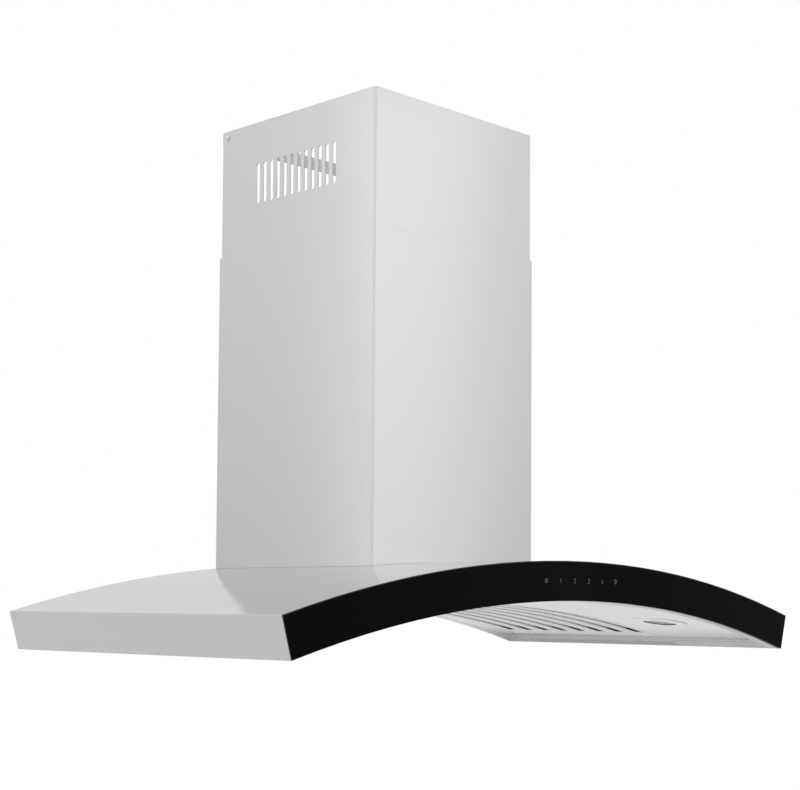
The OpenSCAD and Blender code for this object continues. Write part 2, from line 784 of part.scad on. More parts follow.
module motor_bracket() color("gray") push_right(bracket_x, arm_t) difference() {
    union() {
        translate([wheel_y, wheel_z]) circle(motor_r + arm_w / 2, $fn = 2 * RND);
        for (p = BUSHES) {
            translate([wheel_y, wheel_z])
                rotate(atan2(p[1] - wheel_z, p[0] - wheel_y)) translate([0, -arm_w / 2])
                    square([foot_r, arm_w]);
            translate(p) circle(bush_r, $fn = RND);
        }
    }
    translate([wheel_y, wheel_z]) circle(motor_r, $fn = 2 * RND);
    bush_holes();
}

module motor_bushes() color("black") for (p = BUSHES)
    translate([-scroll_w / 2, p[0], p[1]]) rotate([0, -90, 0]) rotate_extrude($fn = RND)
        difference() {
            translate([hole_r, 0]) square([bush_r - hole_r, bush_h]);
            translate([bush_r, bush_h / 2]) circle(bush_h / 4, $fn = RND);
        }

module impeller() color("lightslategray") translate([0, wheel_y, wheel_z]) difference() {
    union() {
        push_right(-wheel_w / 2, wheel_w) for (k = [0 : blade_n - 1])
            rotate(k * 360 / blade_n) blade_figure();
        for (x = [-wheel_w / 2, wheel_w / 2 - ring_t]) push_right(x, ring_t)
            ring(wheel_r - blade_d / 3, wheel_r + 1, 2 * RND);
        push_right(-ring_t / 2, ring_t) difference() {
            circle(wheel_r - blade_d / 4, $fn = 2 * RND);
            for (k = [0 : 5]) rotate(60 * k) translate([blade_in_r / 2 + hub_r / 2, 0])
                circle(blade_in_r / 5, $fn = RND);
        }
        push_right(-hub_l / 2, hub_l) circle(hub_r, $fn = RND);
    }
    push_right(-hub_l / 2 - CUT, hub_l + 2 * CUT) circle(shaft_r, $fn = RND);
}

// One forward-curved blade in the Y-Z plane, between the wheel's two radii
module blade_figure() {
    mid = wheel_r - blade_d / 2;
    sag = sqrt(blade_curve_r * blade_curve_r - blade_d * blade_d / 4);
    intersection() {
        ring(blade_in_r, wheel_r, 2 * RND);
        translate([mid, sag]) ring(blade_curve_r - blade_t / 2, blade_curve_r + blade_t / 2, RND);
        translate([blade_in_r - blade_d, sag - 2 * blade_curve_r])
            square([3 * blade_d, 2 * blade_curve_r]);
    }
}

module fan_shaft() color("silver") translate([motor_x - motor_l / 2 + CUT, wheel_y, wheel_z])
    rotate([0, 90, 0])
        cylinder(r = shaft_r, h = motor_l / 2 - CUT - motor_x + hub_l / 2 + CUT, $fn = RND);

module duct_collar() color("silver") translate([0, duct_y, box_top]) difference() {
    inner = collar_r - collar_wall;
    bead_z = flap_h - flap_t / 2 - NEAR;
    rotate_extrude($fn = 2 * RND) {
        translate([inner, 0]) square([collar_wall, collar_h]);
        translate([inner, 0]) square([collar_wall + collar_flange, collar_wall]);
        polygon([[inner + collar_wall / 2, bead_z], [inner + collar_wall / 2,
            bead_z - 2 * collar_wall], [inner, bead_z - 2 * collar_wall],
            [inner - 2 * flap_gap, bead_z - collar_wall / 2], [inner - 2 * flap_gap, bead_z]]);
    }
    translate([-collar_r - CUT, 0, flap_h]) rotate([0, 90, 0])
        cylinder(r = pin_r, h = 2 * collar_r + 2 * CUT, $fn = RND);
    for (k = [0 : 5]) rotate(60 * k + 30) translate([duct_screw_r, 0, -CUT])
        cylinder(r = hole_r, h = collar_wall + 2 * CUT, $fn = RND);
}

module flap_pin() color("silver") translate([-collar_r + NEAR, duct_y, flap_z])
    rotate([0, 90, 0]) cylinder(r = pin_r, h = 2 * (collar_r - NEAR), $fn = RND);

// A half-round flap on the side given, with its knuckles at the places given
module damper_flap(side, places) color("whitesmoke") translate([0, duct_y, flap_z])
    difference() {
        union() {
            translate([0, 0, -flap_t / 2]) linear_extrude(flap_t) intersection() {
                circle(flap_r, $fn = 2 * RND);
                translate([-flap_r, side > 0 ? knuckle_r + NEAR : -flap_r - knuckle_r - NEAR])
                    square([2 * flap_r, flap_r]);
            }
            for (x = places) {
                translate([x - knuckle_l / 2, 0, 0]) rotate([0, 90, 0])
                    cylinder(r = knuckle_r, h = knuckle_l, $fn = RND);
                translate([x - knuckle_l / 2, side > 0 ? 0 : -2 * knuckle_r, -flap_t / 2])
                    cube([knuckle_l, 2 * knuckle_r, flap_t]);
            }
        }
        translate([-flap_r - CUT, 0, 0]) rotate([0, 90, 0])
            cylinder(r = pin_r + flap_clear, h = 2 * flap_r + 2 * CUT, $fn = RND);
    }

module wiring_box() color("lightgray") difference() {
    translate([wiring_x - wiring_w / 2, plate_front - wiring_d, box_top])
        cube([wiring_w, wiring_d, wiring_h]);
    translate([wiring_x - wiring_w / 2 + wiring_wall, plate_front - wiring_d + wiring_wall,
        box_top + wiring_wall]) cube([wiring_w - 2 * wiring_wall, wiring_d - 2 * wiring_wall,
        wiring_h]);
}

// A lid with turned-down sides, over the wiring box
module wiring_lid() color("lightgray") difference() {
    union() {
        translate([wiring_x - wiring_w / 2, plate_front - wiring_d, box_top + wiring_h])
            cube([wiring_w, wiring_d, wiring_wall]);
        translate([wiring_x - wiring_w / 2, plate_front - wiring_d - wiring_wall,
            box_top + wiring_h - lid_lip]) cube([wiring_w, wiring_wall, lid_lip + wiring_wall]);
    }
    translate([gland_x, plate_front - wiring_d / 2, box_top + wiring_h - CUT])
        cylinder(r = gland_bore_r, h = wiring_wall + 2 * CUT, $fn = RND);
}

module cable_gland() color("black")
    translate([gland_x, plate_front - wiring_d / 2, box_top + wiring_h + wiring_wall])
    difference() {
        union() {
            cylinder(r = gland_r, h = gland_l / 3, $fn = 6);
            cylinder(r = gland_r * cos(30), h = gland_l * 2 / 3, $fn = RND);
            translate([0, 0, gland_l * 2 / 3]) cylinder(r1 = gland_r * cos(30),
                r2 = gland_bore_r + 2, h = gland_l / 3, $fn = RND);
        }
        translate([0, 0, -CUT]) cylinder(r = gland_bore_r, h = gland_l + 2 * CUT, $fn = RND);
    }

module terminal_block() color("ivory") for (k = [0 : block_n - 1])
    translate([wiring_x + wiring_w / 2 - wiring_wall - (k + 1) * (block_s + NEAR) - NEAR,
        plate_front - wiring_d / 2 - block_s, box_top + wiring_wall]) difference() {
        cube([block_s, 2 * block_s, block_s]);
        for (y = [block_s / 2, block_s * 3 / 2]) translate([block_s / 2, y, block_s / 2])
            cylinder(r = screw_r, h = block_s, $fn = RND);
    }

module motor_capacitor() color("silver")
    translate([wiring_x - wiring_w / 2 + wiring_wall + 2, plate_front - wiring_wall - cap_r - 2,
        box_top + wiring_wall + cap_r]) rotate([0, 90, 0]) {
        cylinder(r = cap_r, h = cap_l, $fn = RND);
        for (y = [-1, 1]) translate([-cap_r / 4, y * cap_r / 2 - 1, cap_l])
            cube([cap_r / 2, 2, 6]);
    }

// Outline of a chimney cover with its two front corners rounded
module cover_figure(w, back, front, r) {
    translate([-w / 2, front + r]) square([w, back - front - r]);
    translate([-w / 2 + r, front]) square([w - 2 * r, r + CUT]);
    for (side = [-1, 1]) translate([side * (w / 2 - r), front + r]) circle(r, $fn = RND);
}

// A three-sided folded cover with a flange along each back edge
module cover_wall(w, back, front) {
    difference() {
        cover_figure(w, back, front, bend_r);
        cover_figure(w - 2 * sheet_t, back + CUT, front + sheet_t, bend_r - sheet_t);
    }
    for (side = [-1, 1]) translate([side * (w / 2 - sheet_t / 2 - wall_flange / 2), 0])
        translate([-(wall_flange + sheet_t) / 2, back - sheet_t])
            square([wall_flange + sheet_t, sheet_t]);
}

module lower_cover() color("silver") {
    difference() {
        translate([0, 0, crest_z - band_h]) linear_extrude(lower_h + band_h)
            cover_wall(chimney_w, 0, -chimney_d);
        push_front(CUT, chimney_d + 2 * CUT) circle(arch_r, $fn = ARC);
    }
    for (p = COVER_SCREWS) difference() {
        side = sign(p[0]);
        x = chimney_w / 2 - sheet_t;
        curved_plate(arch_r, arch_r + sheet_t, side > 0 ? x - foot_w : -x,
            side > 0 ? x : foot_w - x, p[1] + foot_w, 2 * foot_w, arch_z);
        on_arch(p[0], p[1], arch_r) translate([0, 0, -CUT])
            cylinder(r = screw_r, h = sheet_t + 2 * CUT, $fn = RND);
    }
}

module upper_cover() color("silver") difference() {
    translate([0, 0, upper_top - upper_l]) linear_extrude(upper_l)
        cover_wall(upper_cover_w, upper_y, upper_front);
    push_right(-upper_cover_w, 2 * upper_cover_w) for (k = [0 : vent_n - 1])
        translate([vent_y + (k - (vent_n - 1) / 2) * vent_pitch, upper_top - vent_drop]) {
            translate([-vent_w / 2, -vent_l + vent_w / 2]) square([vent_w, vent_l - vent_w]);
            for (z = [-vent_w / 2, -vent_l + vent_w / 2]) translate([0, z])
                circle(vent_w / 2, $fn = RND);
        }
    translate([-upper_cover_w, cover_screw_y, screw_z]) rotate([0, 90, 0])
        cylinder(r = hole_r, h = 2 * upper_cover_w, $fn = RND);
    // Room for the wall bracket in the back flanges
    translate([-upper_cover_w / 2 + sheet_t, bracket_y - CUT, screw_z - bracket_h / 2 - CUT])
        cube([upper_cover_w - 2 * sheet_t, 2 * sheet_t + CUT, bracket_h + screw_drop]);
}

// The wall bracket carries the upper cover by an ear inside each of its sides
module wall_bracket() color("lightgray") difference() {
    half = upper_cover_w / 2 - sheet_t;
    ear_d = -cover_screw_y + bracket_h / 2;
    union() {
        translate([-half, -bracket_t, screw_z - bracket_h / 2])
            cube([2 * half, bracket_t, bracket_h]);
        for (x = [-half, half - bracket_t])
            translate([x, -ear_d, screw_z - bracket_h / 2]) cube([bracket_t, ear_d, bracket_h]);
    }
    for (side = [-1, 1]) translate([side * bracket_pitch / 2, CUT, screw_z])
        rotate([90, 0, 0]) {
            for (x = [-1, 1]) translate([x * (bracket_slot_l / 2 - bracket_slot_r), 0, 0])
                cylinder(r = bracket_slot_r, h = bracket_t + 2 * CUT, $fn = RND);
            translate([-bracket_slot_l / 2 + bracket_slot_r, -bracket_slot_r, 0])
                cube([bracket_slot_l - 2 * bracket_slot_r, 2 * bracket_slot_r,
                    bracket_t + 2 * CUT]);
        }
    translate([-upper_cover_w, cover_screw_y, screw_z]) rotate([0, 90, 0])
        cylinder(r = screw_r, h = 2 * upper_cover_w, $fn = RND);
}

module blower_screws() color("silver") {
    for (p = BOX_SCREWS) on_arch(p[0], p[1], arch_r) translate([0, 0, box_t])
        screw(box_t + sheet_t + screw_past);
    for (k = [0 : 5]) translate([0, duct_y, box_top + collar_wall]) rotate(60 * k + 30)
        translate([duct_screw_r, 0, 0]) screw(collar_wall);
    for (p = BUSHES) translate([bracket_x, p[0], p[1]]) rotate([0, -90, 0])
        screw(arm_t + bush_h + box_t + screw_past);
}

module cover_screws() color("silver") for (p = COVER_SCREWS) on_arch(p[0], p[1], arch_r)
    translate([0, 0, -sheet_t]) mirror([0, 0, 1]) screw(2 * sheet_t + screw_past);

module bracket_screws() color("silver") for (side = [-1, 1])
    translate([side * upper_cover_w / 2, cover_screw_y, screw_z]) rotate([0, side * 90, 0])
        screw(sheet_t + bracket_t + screw_past);

module driver_screws() color("silver") for (p = DRIVER_SCREWS)
    on_arch(p[0], p[1], panel_top_r, panel_z) translate([0, 0, lug_t]) screw(lug_t + sheet_t);

// The frame of the right filter: a shallow tray, open over the long slots
module filter_frame() color("gainsboro") {
    inner = filter_split + filter_margin;
    outer = filter_x - filter_margin;
    difference() {
        curved_plate(panel_r, filter_top_r, filter_split, filter_x, filter_y, filter_d);
        curved_plate(panel_r + filter_sheet, filter_top_r - filter_sheet,
            filter_split + filter_sheet, filter_x - filter_sheet, filter_y - filter_sheet,
            filter_d - 2 * filter_sheet);
        curved_plate(panel_r - CUT, panel_r + 2 * filter_sheet, inner, outer,
            window_y, window_d);
        curved_plate(filter_top_r - 2 * filter_sheet, filter_top_r + CUT,
            filter_split + filter_side, filter_x - filter_side, filter_y - filter_side / 2,
            filter_d - filter_side);
    }
    for (y = [window_y + filter_sheet, window_y - window_d])
        curved_plate(panel_r, panel_r + baffle_lip, inner, outer - lip_short, y, filter_sheet);
    for (y = [filter_y - tab_near, filter_y - filter_d + tab_near + tab_w])
        curved_plate(panel_top_r + NEAR, panel_top_r + NEAR + filter_sheet,
            filter_x - filter_sheet, open_x + tab_reach, y, tab_w);
}

module lower_baffles() color("gainsboro") for (k = [0 : slot_n - 2]) difference() {
    y = window_y - slot_w - k * slot_pitch;
    inner = filter_split + filter_margin;
    outer = filter_x - filter_margin;
    curved_plate(panel_r, panel_r + baffle_lip, inner, outer, y, baffle_w);
    curved_plate(panel_r + filter_sheet, panel_r + baffle_lip + CUT, inner - CUT, outer + CUT,
        y - filter_sheet, baffle_w - 2 * filter_sheet);
    curved_plate(panel_r + filter_sheet, panel_r + baffle_lip + CUT, outer - lip_short,
        outer + CUT, y + CUT, baffle_w + 2 * CUT);
}

// Upper baffles hang under the frame's top flanges, over the slots
module upper_baffles() color("gainsboro") for (k = [0 : slot_n - 1]) difference() {
    y = window_y - slot_w / 2 - k * slot_pitch + upper_baffle_w / 2;
    top = filter_top_r - filter_sheet;
    leg = panel_r + filter_sheet + baffle_air;
    curved_plate(leg, top, filter_split + filter_sheet, filter_x - filter_sheet,
        y, upper_baffle_w);
    curved_plate(leg - CUT, top - filter_sheet, filter_split, filter_x,
        y - filter_sheet, upper_baffle_w - 2 * filter_sheet);
}

// A bent strap with a flat foot at each end
module filter_handle() color("silver") {
    l = handle_l / 2;
    slope = handle_h / 2;
    seat = sqrt(panel_r * panel_r - handle_w * handle_w / 4) - panel_r;
    on_arch(handle_x, handle_mid_y, panel_r, panel_z) translate([-handle_w / 2, 0, seat])
        push_right(0, handle_w) polygon([[-l, 0], [-l, -handle_t],
            [-l + handle_foot, -handle_t], [-l + handle_foot + slope, -handle_h],
            [l - handle_foot - slope, -handle_h], [l - handle_foot, -handle_t],
            [l, -handle_t], [l, 0], [l - handle_foot - handle_t, 0],
            [l - handle_foot - slope - handle_t, -handle_h + handle_t],
            [-l + handle_foot + slope + handle_t, -handle_h + handle_t],
            [-l + handle_foot + handle_t, 0]]);
}

canopy_shell();
rear_panel();
front_channel();
fascia_glass();
board_carrier();
control_board();
touch_springs();
underside_panel();
filter_rail();
filter_springs();
lamp_rim(-1);  // lamp_rim_left
lamp_rim(1);  // lamp_rim_right
lamp_lens(-1);  // lamp_lens_left
lamp_lens(1);  // lamp_lens_right
lamp_housing(-1);  // lamp_housing_left
lamp_housing(1);  // lamp_housing_right
lamp_driver();
mounting_plate();
blower_box();
fan_scroll();
scroll_side(-1);  // scroll_side_left
scroll_side(1);  // scroll_side_right
inlet_ring(-1);  // inlet_ring_left
inlet_ring(1);  // inlet_ring_right
motor();
motor_bracket();
motor_bushes();
impeller();
fan_shaft();
duct_collar();
flap_pin();
damper_flap(-1, [-4 * knuckle_l, 4 / 3 * knuckle_l]);  // damper_flap_front
damper_flap(1, [-4 / 3 * knuckle_l, 4 * knuckle_l]);  // damper_flap_rear
wiring_box();
wiring_lid();
terminal_block();
cable_gland();
motor_capacitor();
lower_cover();
upper_cover();
wall_bracket();
blower_screws();
cover_screws();
bracket_screws();
driver_screws();
mirror([1, 0, 0]) filter_frame();  // filter_frame_left
filter_frame();  // filter_frame_right
mirror([1, 0, 0]) lower_baffles();  // lower_baffles_left
lower_baffles();  // lower_baffles_right
mirror([1, 0, 0]) upper_baffles();  // upper_baffles_left
upper_baffles();  // upper_baffles_right
mirror([1, 0, 0]) filter_handle();  // filter_handle_left
filter_handle();  // filter_handle_right
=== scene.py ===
"""Dresses the packed model of a wall mount range hood: its steel, glass and moulded
finishes, the printed touch icons, screws, rivets and spot welds, and the studio round it."""

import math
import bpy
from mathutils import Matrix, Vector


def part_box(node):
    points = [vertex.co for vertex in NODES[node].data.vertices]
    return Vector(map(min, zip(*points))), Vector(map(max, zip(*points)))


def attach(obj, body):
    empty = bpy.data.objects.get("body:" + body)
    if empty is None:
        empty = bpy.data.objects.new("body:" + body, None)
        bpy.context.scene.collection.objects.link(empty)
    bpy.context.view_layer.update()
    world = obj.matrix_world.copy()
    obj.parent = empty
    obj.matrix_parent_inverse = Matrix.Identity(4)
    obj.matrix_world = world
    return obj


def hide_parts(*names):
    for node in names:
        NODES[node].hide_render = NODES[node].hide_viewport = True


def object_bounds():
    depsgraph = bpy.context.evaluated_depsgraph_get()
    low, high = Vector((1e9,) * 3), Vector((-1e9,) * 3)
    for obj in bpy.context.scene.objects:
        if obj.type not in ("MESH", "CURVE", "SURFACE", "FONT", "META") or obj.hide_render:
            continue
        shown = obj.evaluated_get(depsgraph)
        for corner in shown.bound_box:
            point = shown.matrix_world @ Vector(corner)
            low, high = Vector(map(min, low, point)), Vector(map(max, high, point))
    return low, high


bl_info = {
    "name": "Wall Mount Range Hood",
    "version": (1, 0, 0),
    "blender": (4, 5, 0),
    "location": "View3D > Sidebar > Range Hood",
    "description": "Finishes and small parts of an arched wall mount range hood",
    "category": "Object",
}

import bmesh
import bpy
from mathutils import Matrix, Vector

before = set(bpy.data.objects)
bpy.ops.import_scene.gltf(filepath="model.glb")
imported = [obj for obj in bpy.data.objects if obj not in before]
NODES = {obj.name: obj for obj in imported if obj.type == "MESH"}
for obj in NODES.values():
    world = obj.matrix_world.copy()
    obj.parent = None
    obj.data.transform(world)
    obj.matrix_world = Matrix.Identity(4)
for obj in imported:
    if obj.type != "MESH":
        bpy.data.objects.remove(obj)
CAD_BOX = [list(corner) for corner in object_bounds()]

MM = 0.001
# Image that the camera is fitted to, in pixels
IMAGE_W = 800
IMAGE_H = 790


# Sizes that the small parts take from the packed model


def corner(node, side):
    """Lowest (0) or highest (1) corner of a CAD node, in metres."""
    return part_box(node)[side]


# Arch of the canopy: its top is a circle about (0, ARCH_Z), in the X-Z plane
HALF_W = corner("canopy_shell", 1).x
CREST_Z = corner("canopy_shell", 1).z
ARCH_R = 1.650
ARCH_Z = CREST_Z - ARCH_R
# The underside panel follows a flatter arch, whose crest hangs lower
PANEL_R = 2.030
PANEL_Z = CREST_Z - 48.4 * MM - PANEL_R
# Wall of a lamp rim between its bore and the lens's edge
RIM_WALL = 1.6 * MM
GLASS_Y = corner("fascia_glass", 0).y
# Play of a thin part beside the sheet or bore that it lies on
PLAY = 0.02 * MM
# Points nearer than this are one point
MERGE = 0.001 * MM


def on_arch(x, y, radius, centre=ARCH_Z):
    """Matrix of a frame that stands on an arch, its Z away from the arch's centre."""
    angle = math.asin(x / radius)
    place = Matrix.Translation((0, y, centre))
    return place @ Matrix.Rotation(angle, 4, "Y") @ Matrix.Translation((0, 0, radius))


# Node tree helpers


class Graph:
    """Adds nodes to one node tree and links them as they are made."""

    def __init__(self, tree):
        self.tree = tree

    def add(self, kind, inputs=None, **props):
        node = self.tree.nodes.new(kind)
        for name, value in props.items():
            setattr(node, name, value)
        for name, value in (inputs or {}).items():
            if isinstance(value, bpy.types.NodeSocket):
                self.tree.links.new(value, node.inputs[name])
            else:
                node.inputs[name].default_value = value
        return node

    def math(self, operation, a, b=0.0, clamp=False):
        return self.add("ShaderNodeMath", {0: a, 1: b}, operation=operation,
                        use_clamp=clamp).outputs[0]

    def mix(self, factor, a, b):
        node = self.add("ShaderNodeMix", data_type="RGBA")
        for index, value in ((0, factor), (6, a), (7, b)):
            if isinstance(value, bpy.types.NodeSocket):
                self.tree.links.new(value, node.inputs[index])
            else:
                node.inputs[index].default_value = value
        return node.outputs[2]

    def remap(self, value, low, high):
        return self.add("ShaderNodeMapRange", {"Value": value, "To Min": low,
                                               "To Max": high}).outputs["Result"]


def shader_group(name, inputs, outputs):
    """An empty shader node group with the sockets given, and its graph."""
    group = bpy.data.node_groups.new(name, "ShaderNodeTree")
    for label, kind, default in inputs:
        socket = group.interface.new_socket(label, in_out="INPUT", socket_type=kind)
        socket.default_value = default
    for label, kind in outputs:
        group.interface.new_socket(label, in_out="OUTPUT", socket_type=kind)
    graph = Graph(group)
    return group, graph, graph.add("NodeGroupInput"), graph.add("NodeGroupOutput")


FLOAT = "NodeSocketFloat"
VECTOR = "NodeSocketVector"
COLOUR = "NodeSocketColor"


def build_brushed_grain():
    """Long fine scratches along one direction, as a height and a tone."""
    group, g, ends, out = shader_group(
        "Brushed Grain",
        [("Stretch", VECTOR, (40.0, 1500.0, 1500.0)), ("Bands", VECTOR, (1.5, 60.0, 60.0))],
        [("Height", FLOAT), ("Tone", FLOAT)],
    )
    place = g.add("ShaderNodeTexCoord").outputs["Object"]
    fine = g.add("ShaderNodeVectorMath", {0: place, 1: ends.outputs["Stretch"]},
                 operation="MULTIPLY")
    wide = g.add("ShaderNodeVectorMath", {0: place, 1: ends.outputs["Bands"]},
                 operation="MULTIPLY")
    scratch = g.add("ShaderNodeTexNoise", {"Vector": fine.outputs[0], "Scale": 1.0,
                                           "Detail": 4.0, "Roughness": 0.7})
    band = g.add("ShaderNodeTexNoise", {"Vector": wide.outputs[0], "Scale": 1.0,
                                        "Detail": 3.0, "Roughness": 0.55})
    g.tree.links.new(scratch.outputs[0], out.inputs["Height"])
    tone = g.math("ADD", g.math("MULTIPLY", scratch.outputs[0], 0.45),
                  g.math("MULTIPLY", band.outputs[0], 0.55))
    g.tree.links.new(tone, out.inputs["Tone"])
    return group


def build_wiped_smudges():
    """Faint hand and cloth marks, from 0 on clean metal to 1 where it was touched."""
    group, g, ends, out = shader_group(
        "Wiped Smudges", [("Scale", FLOAT, 9.0), ("Cover", FLOAT, 0.45)],
        [("Amount", FLOAT)])
    place = g.add("ShaderNodeTexCoord").outputs["Object"]
    cloud = g.add("ShaderNodeTexNoise", {"Vector": place, "Scale": ends.outputs["Scale"],
                                         "Detail": 5.0, "Roughness": 0.62,
                                         "Distortion": 0.8})
    low = g.math("SUBTRACT", 1.0, ends.outputs["Cover"])
    high = g.math("ADD", low, 0.25)
    amount = g.add("ShaderNodeMapRange", {"Value": cloud.outputs[0], "From Min": low,
                                          "From Max": high})
    g.tree.links.new(amount.outputs[0], out.inputs["Amount"])
    return group


def build_soft_edge():
    """A rounded normal at the edges of a sheet, and a mask of where they are."""
    group, g, ends, out = shader_group(
        "Soft Edge", [("Radius", FLOAT, 0.0006)], [("Mask", FLOAT), ("Normal", VECTOR)])
    bevel = g.add("ShaderNodeBevel", {"Radius": ends.outputs["Radius"]}, samples=4)
    flat = g.add("ShaderNodeNewGeometry").outputs["Normal"]
    facing = g.add("ShaderNodeVectorMath", {0: bevel.outputs[0], 1: flat},
                   operation="DOT_PRODUCT").outputs["Value"]
    mask = g.add("ShaderNodeMapRange", {"Value": facing, "From Min": 0.995,
                                        "From Max": 0.8})
    g.tree.links.new(mask.outputs[0], out.inputs["Mask"])
    g.tree.links.new(bevel.outputs[0], out.inputs["Normal"])
    return group


def build_fine_dust():
    """Dust that settles on faces turned up, broken by a cloud."""
    group, g, ends, out = shader_group(
        "Fine Dust", [("Scale", FLOAT, 30.0)], [("Mask", FLOAT)])
    up = g.add("ShaderNodeSeparateXYZ",
               {0: g.add("ShaderNodeNewGeometry").outputs["Normal"]}).outputs["Z"]
    place = g.add("ShaderNodeTexCoord").outputs["Object"]
    cloud = g.add("ShaderNodeTexNoise", {"Vector": place, "Scale": ends.outputs["Scale"],
                                         "Detail": 6.0, "Roughness": 0.7})
    lying = g.add("ShaderNodeMapRange", {"Value": up, "From Min": 0.6, "From Max": 1.0})
    g.tree.links.new(g.math("MULTIPLY", lying.outputs[0], cloud.outputs[0]),
                     out.inputs["Mask"])
    return group


def build_spangle():
    """The flat crystals of hot-dip zinc, each with its own tone."""
    group, g, ends, out = shader_group(
        "Zinc Spangle", [("Scale", FLOAT, 140.0)], [("Tone", FLOAT), ("Rim", FLOAT)])
    place = g.add("ShaderNodeTexCoord").outputs["Object"]
    bent = g.add("ShaderNodeTexNoise", {"Vector": place, "Scale": 60.0, "Detail": 2.0})
    moved = g.add("ShaderNodeVectorMath", {0: bent.outputs["Color"], 1: place,
                                           2: place}, operation="MULTIPLY_ADD")
    spot = g.add("ShaderNodeTexVoronoi", {"Vector": place, "Scale": ends.outputs["Scale"]})
    rim = g.add("ShaderNodeTexVoronoi", {"Vector": moved.outputs[0],
                                         "Scale": ends.outputs["Scale"]},
                feature="DISTANCE_TO_EDGE")
    tone = g.add("ShaderNodeSeparateColor", {0: spot.outputs["Color"]}).outputs[0]
    g.tree.links.new(tone, out.inputs["Tone"])
    g.tree.links.new(rim.outputs["Distance"], out.inputs["Rim"])
    return group


def build_moulded_grain():
    """The fine pebbled skin of moulded plastic, cast metal or sprayed paint."""
    group, g, ends, out = shader_group(
        "Moulded Grain", [("Scale", FLOAT, 900.0)], [("Height", FLOAT), ("Tone", FLOAT)])
    place = g.add("ShaderNodeTexCoord").outputs["Object"]
    pebble = g.add("ShaderNodeTexVoronoi", {"Vector": place,
                                            "Scale": ends.outputs["Scale"]},
                   feature="SMOOTH_F1")
    cloud = g.add("ShaderNodeTexNoise", {"Vector": place, "Scale": 25.0, "Detail": 5.0})
    g.tree.links.new(pebble.outputs["Distance"], out.inputs["Height"])
    g.tree.links.new(cloud.outputs[0], out.inputs["Tone"])
    return group


GROUPS = {}


def effect(graph, name, **values):
    """Places the node group of that name in a material, with its own values."""
    if name not in GROUPS:
        GROUPS[name] = {
            "Brushed Grain": build_brushed_grain, "Wiped Smudges": build_wiped_smudges,
            "Soft Edge": build_soft_edge, "Fine Dust": build_fine_dust,
            "Zinc Spangle": build_spangle, "Moulded Grain": build_moulded_grain,
        }[name]()
    node = graph.add("ShaderNodeGroup", node_tree=GROUPS[name])
    for label, value in values.items():
        node.inputs[label].default_value = value
    return node.outputs


def start_material(name, **constants):
    """A material with a Principled BSDF whose constant sockets are set."""
    material = bpy.data.materials.new(name)
    material.use_nodes = True
    material.node_tree.nodes.clear()
    graph = Graph(material.node_tree)
    out = graph.add("ShaderNodeOutputMaterial")
    shader = graph.add("ShaderNodeBsdfPrincipled")
    graph.tree.links.new(shader.outputs[0], out.inputs["Surface"])
    for label, value in constants.items():
        shader.inputs[label.replace("_", " ")].default_value = value
    return material, graph, shader


def feed(graph, shader, **sockets):
    """Links outputs to the shader's sockets of those names."""
    for label, value in sockets.items():
        graph.tree.links.new(value, shader.inputs[label.replace("_", " ")])


def shade(colour, factor):
    """A colour made darker or lighter by a factor, with its alpha kept."""
    return tuple(min(1.0, channel * factor) for channel in colour[:3]) + (1.0,)


# Finishes


def brushed_steel(name, tone, roughness, along="X", depth=0.005, smudge=0.006,
                  edge_tint=1.0):
    """Stainless sheet with its grain along X, Y or Z; the tint is that of the light it
    reflects at a flat angle."""
    tint = (edge_tint, edge_tint, edge_tint, 1.0)
    material, g, shader = start_material(name, Metallic=1.0, Specular_Tint=tint)
    stretch = {"X": (25.0, 1700.0, 1700.0), "Y": (1700.0, 25.0, 1700.0),
               "Z": (1700.0, 1700.0, 25.0)}[along]
    grain = effect(g, "Brushed Grain", Stretch=stretch,
                   Bands=tuple(value / 22.0 for value in stretch))
    marks = effect(g, "Wiped Smudges", Scale=7.0)["Amount"]
    edge = effect(g, "Soft Edge", Radius=0.0007)
    colour = g.mix(grain["Tone"], shade(tone, 0.985), shade(tone, 1.015))
    # Painted highlight: the colour is lighter along the sheet's edges, where the bevel mask
    # finds them
    colour = g.mix(g.math("MULTIPLY", edge["Mask"], 0.15), colour, shade(tone, 1.2))
    rough = g.math("ADD", g.remap(grain["Tone"], roughness - 0.01, roughness + 0.01),
                   g.math("MULTIPLY", marks, smudge))
    bump = g.add("ShaderNodeBump", {"Strength": depth, "Distance": 0.0004,
                                    "Height": grain["Height"], "Normal": edge["Normal"]})
    feed(g, shader, Base_Color=colour, Roughness=rough, Normal=bump.outputs[0])
    return material


def black_glass(name, tone):
    """Polished opaque glass with a hint of dust and arrised edges."""
    material, g, shader = start_material(name, Specular_IOR_Level=0.022, IOR=1.5)
    marks = effect(g, "Wiped Smudges", Scale=5.0, Cover=0.4)["Amount"]
    edge = effect(g, "Soft Edge", Radius=0.0009)
    dust = effect(g, "Fine Dust", Scale=80.0)["Mask"]
    colour = g.mix(g.math("MULTIPLY", edge["Mask"], 0.7), tone, shade(tone, 4.0))
    colour = g.mix(g.math("MULTIPLY", dust, 0.03), colour, (0.3, 0.3, 0.3, 1.0))
    feed(g, shader, Base_Color=colour, Roughness=g.remap(marks, 0.05, 0.11),
         Normal=edge["Normal"])
    return material


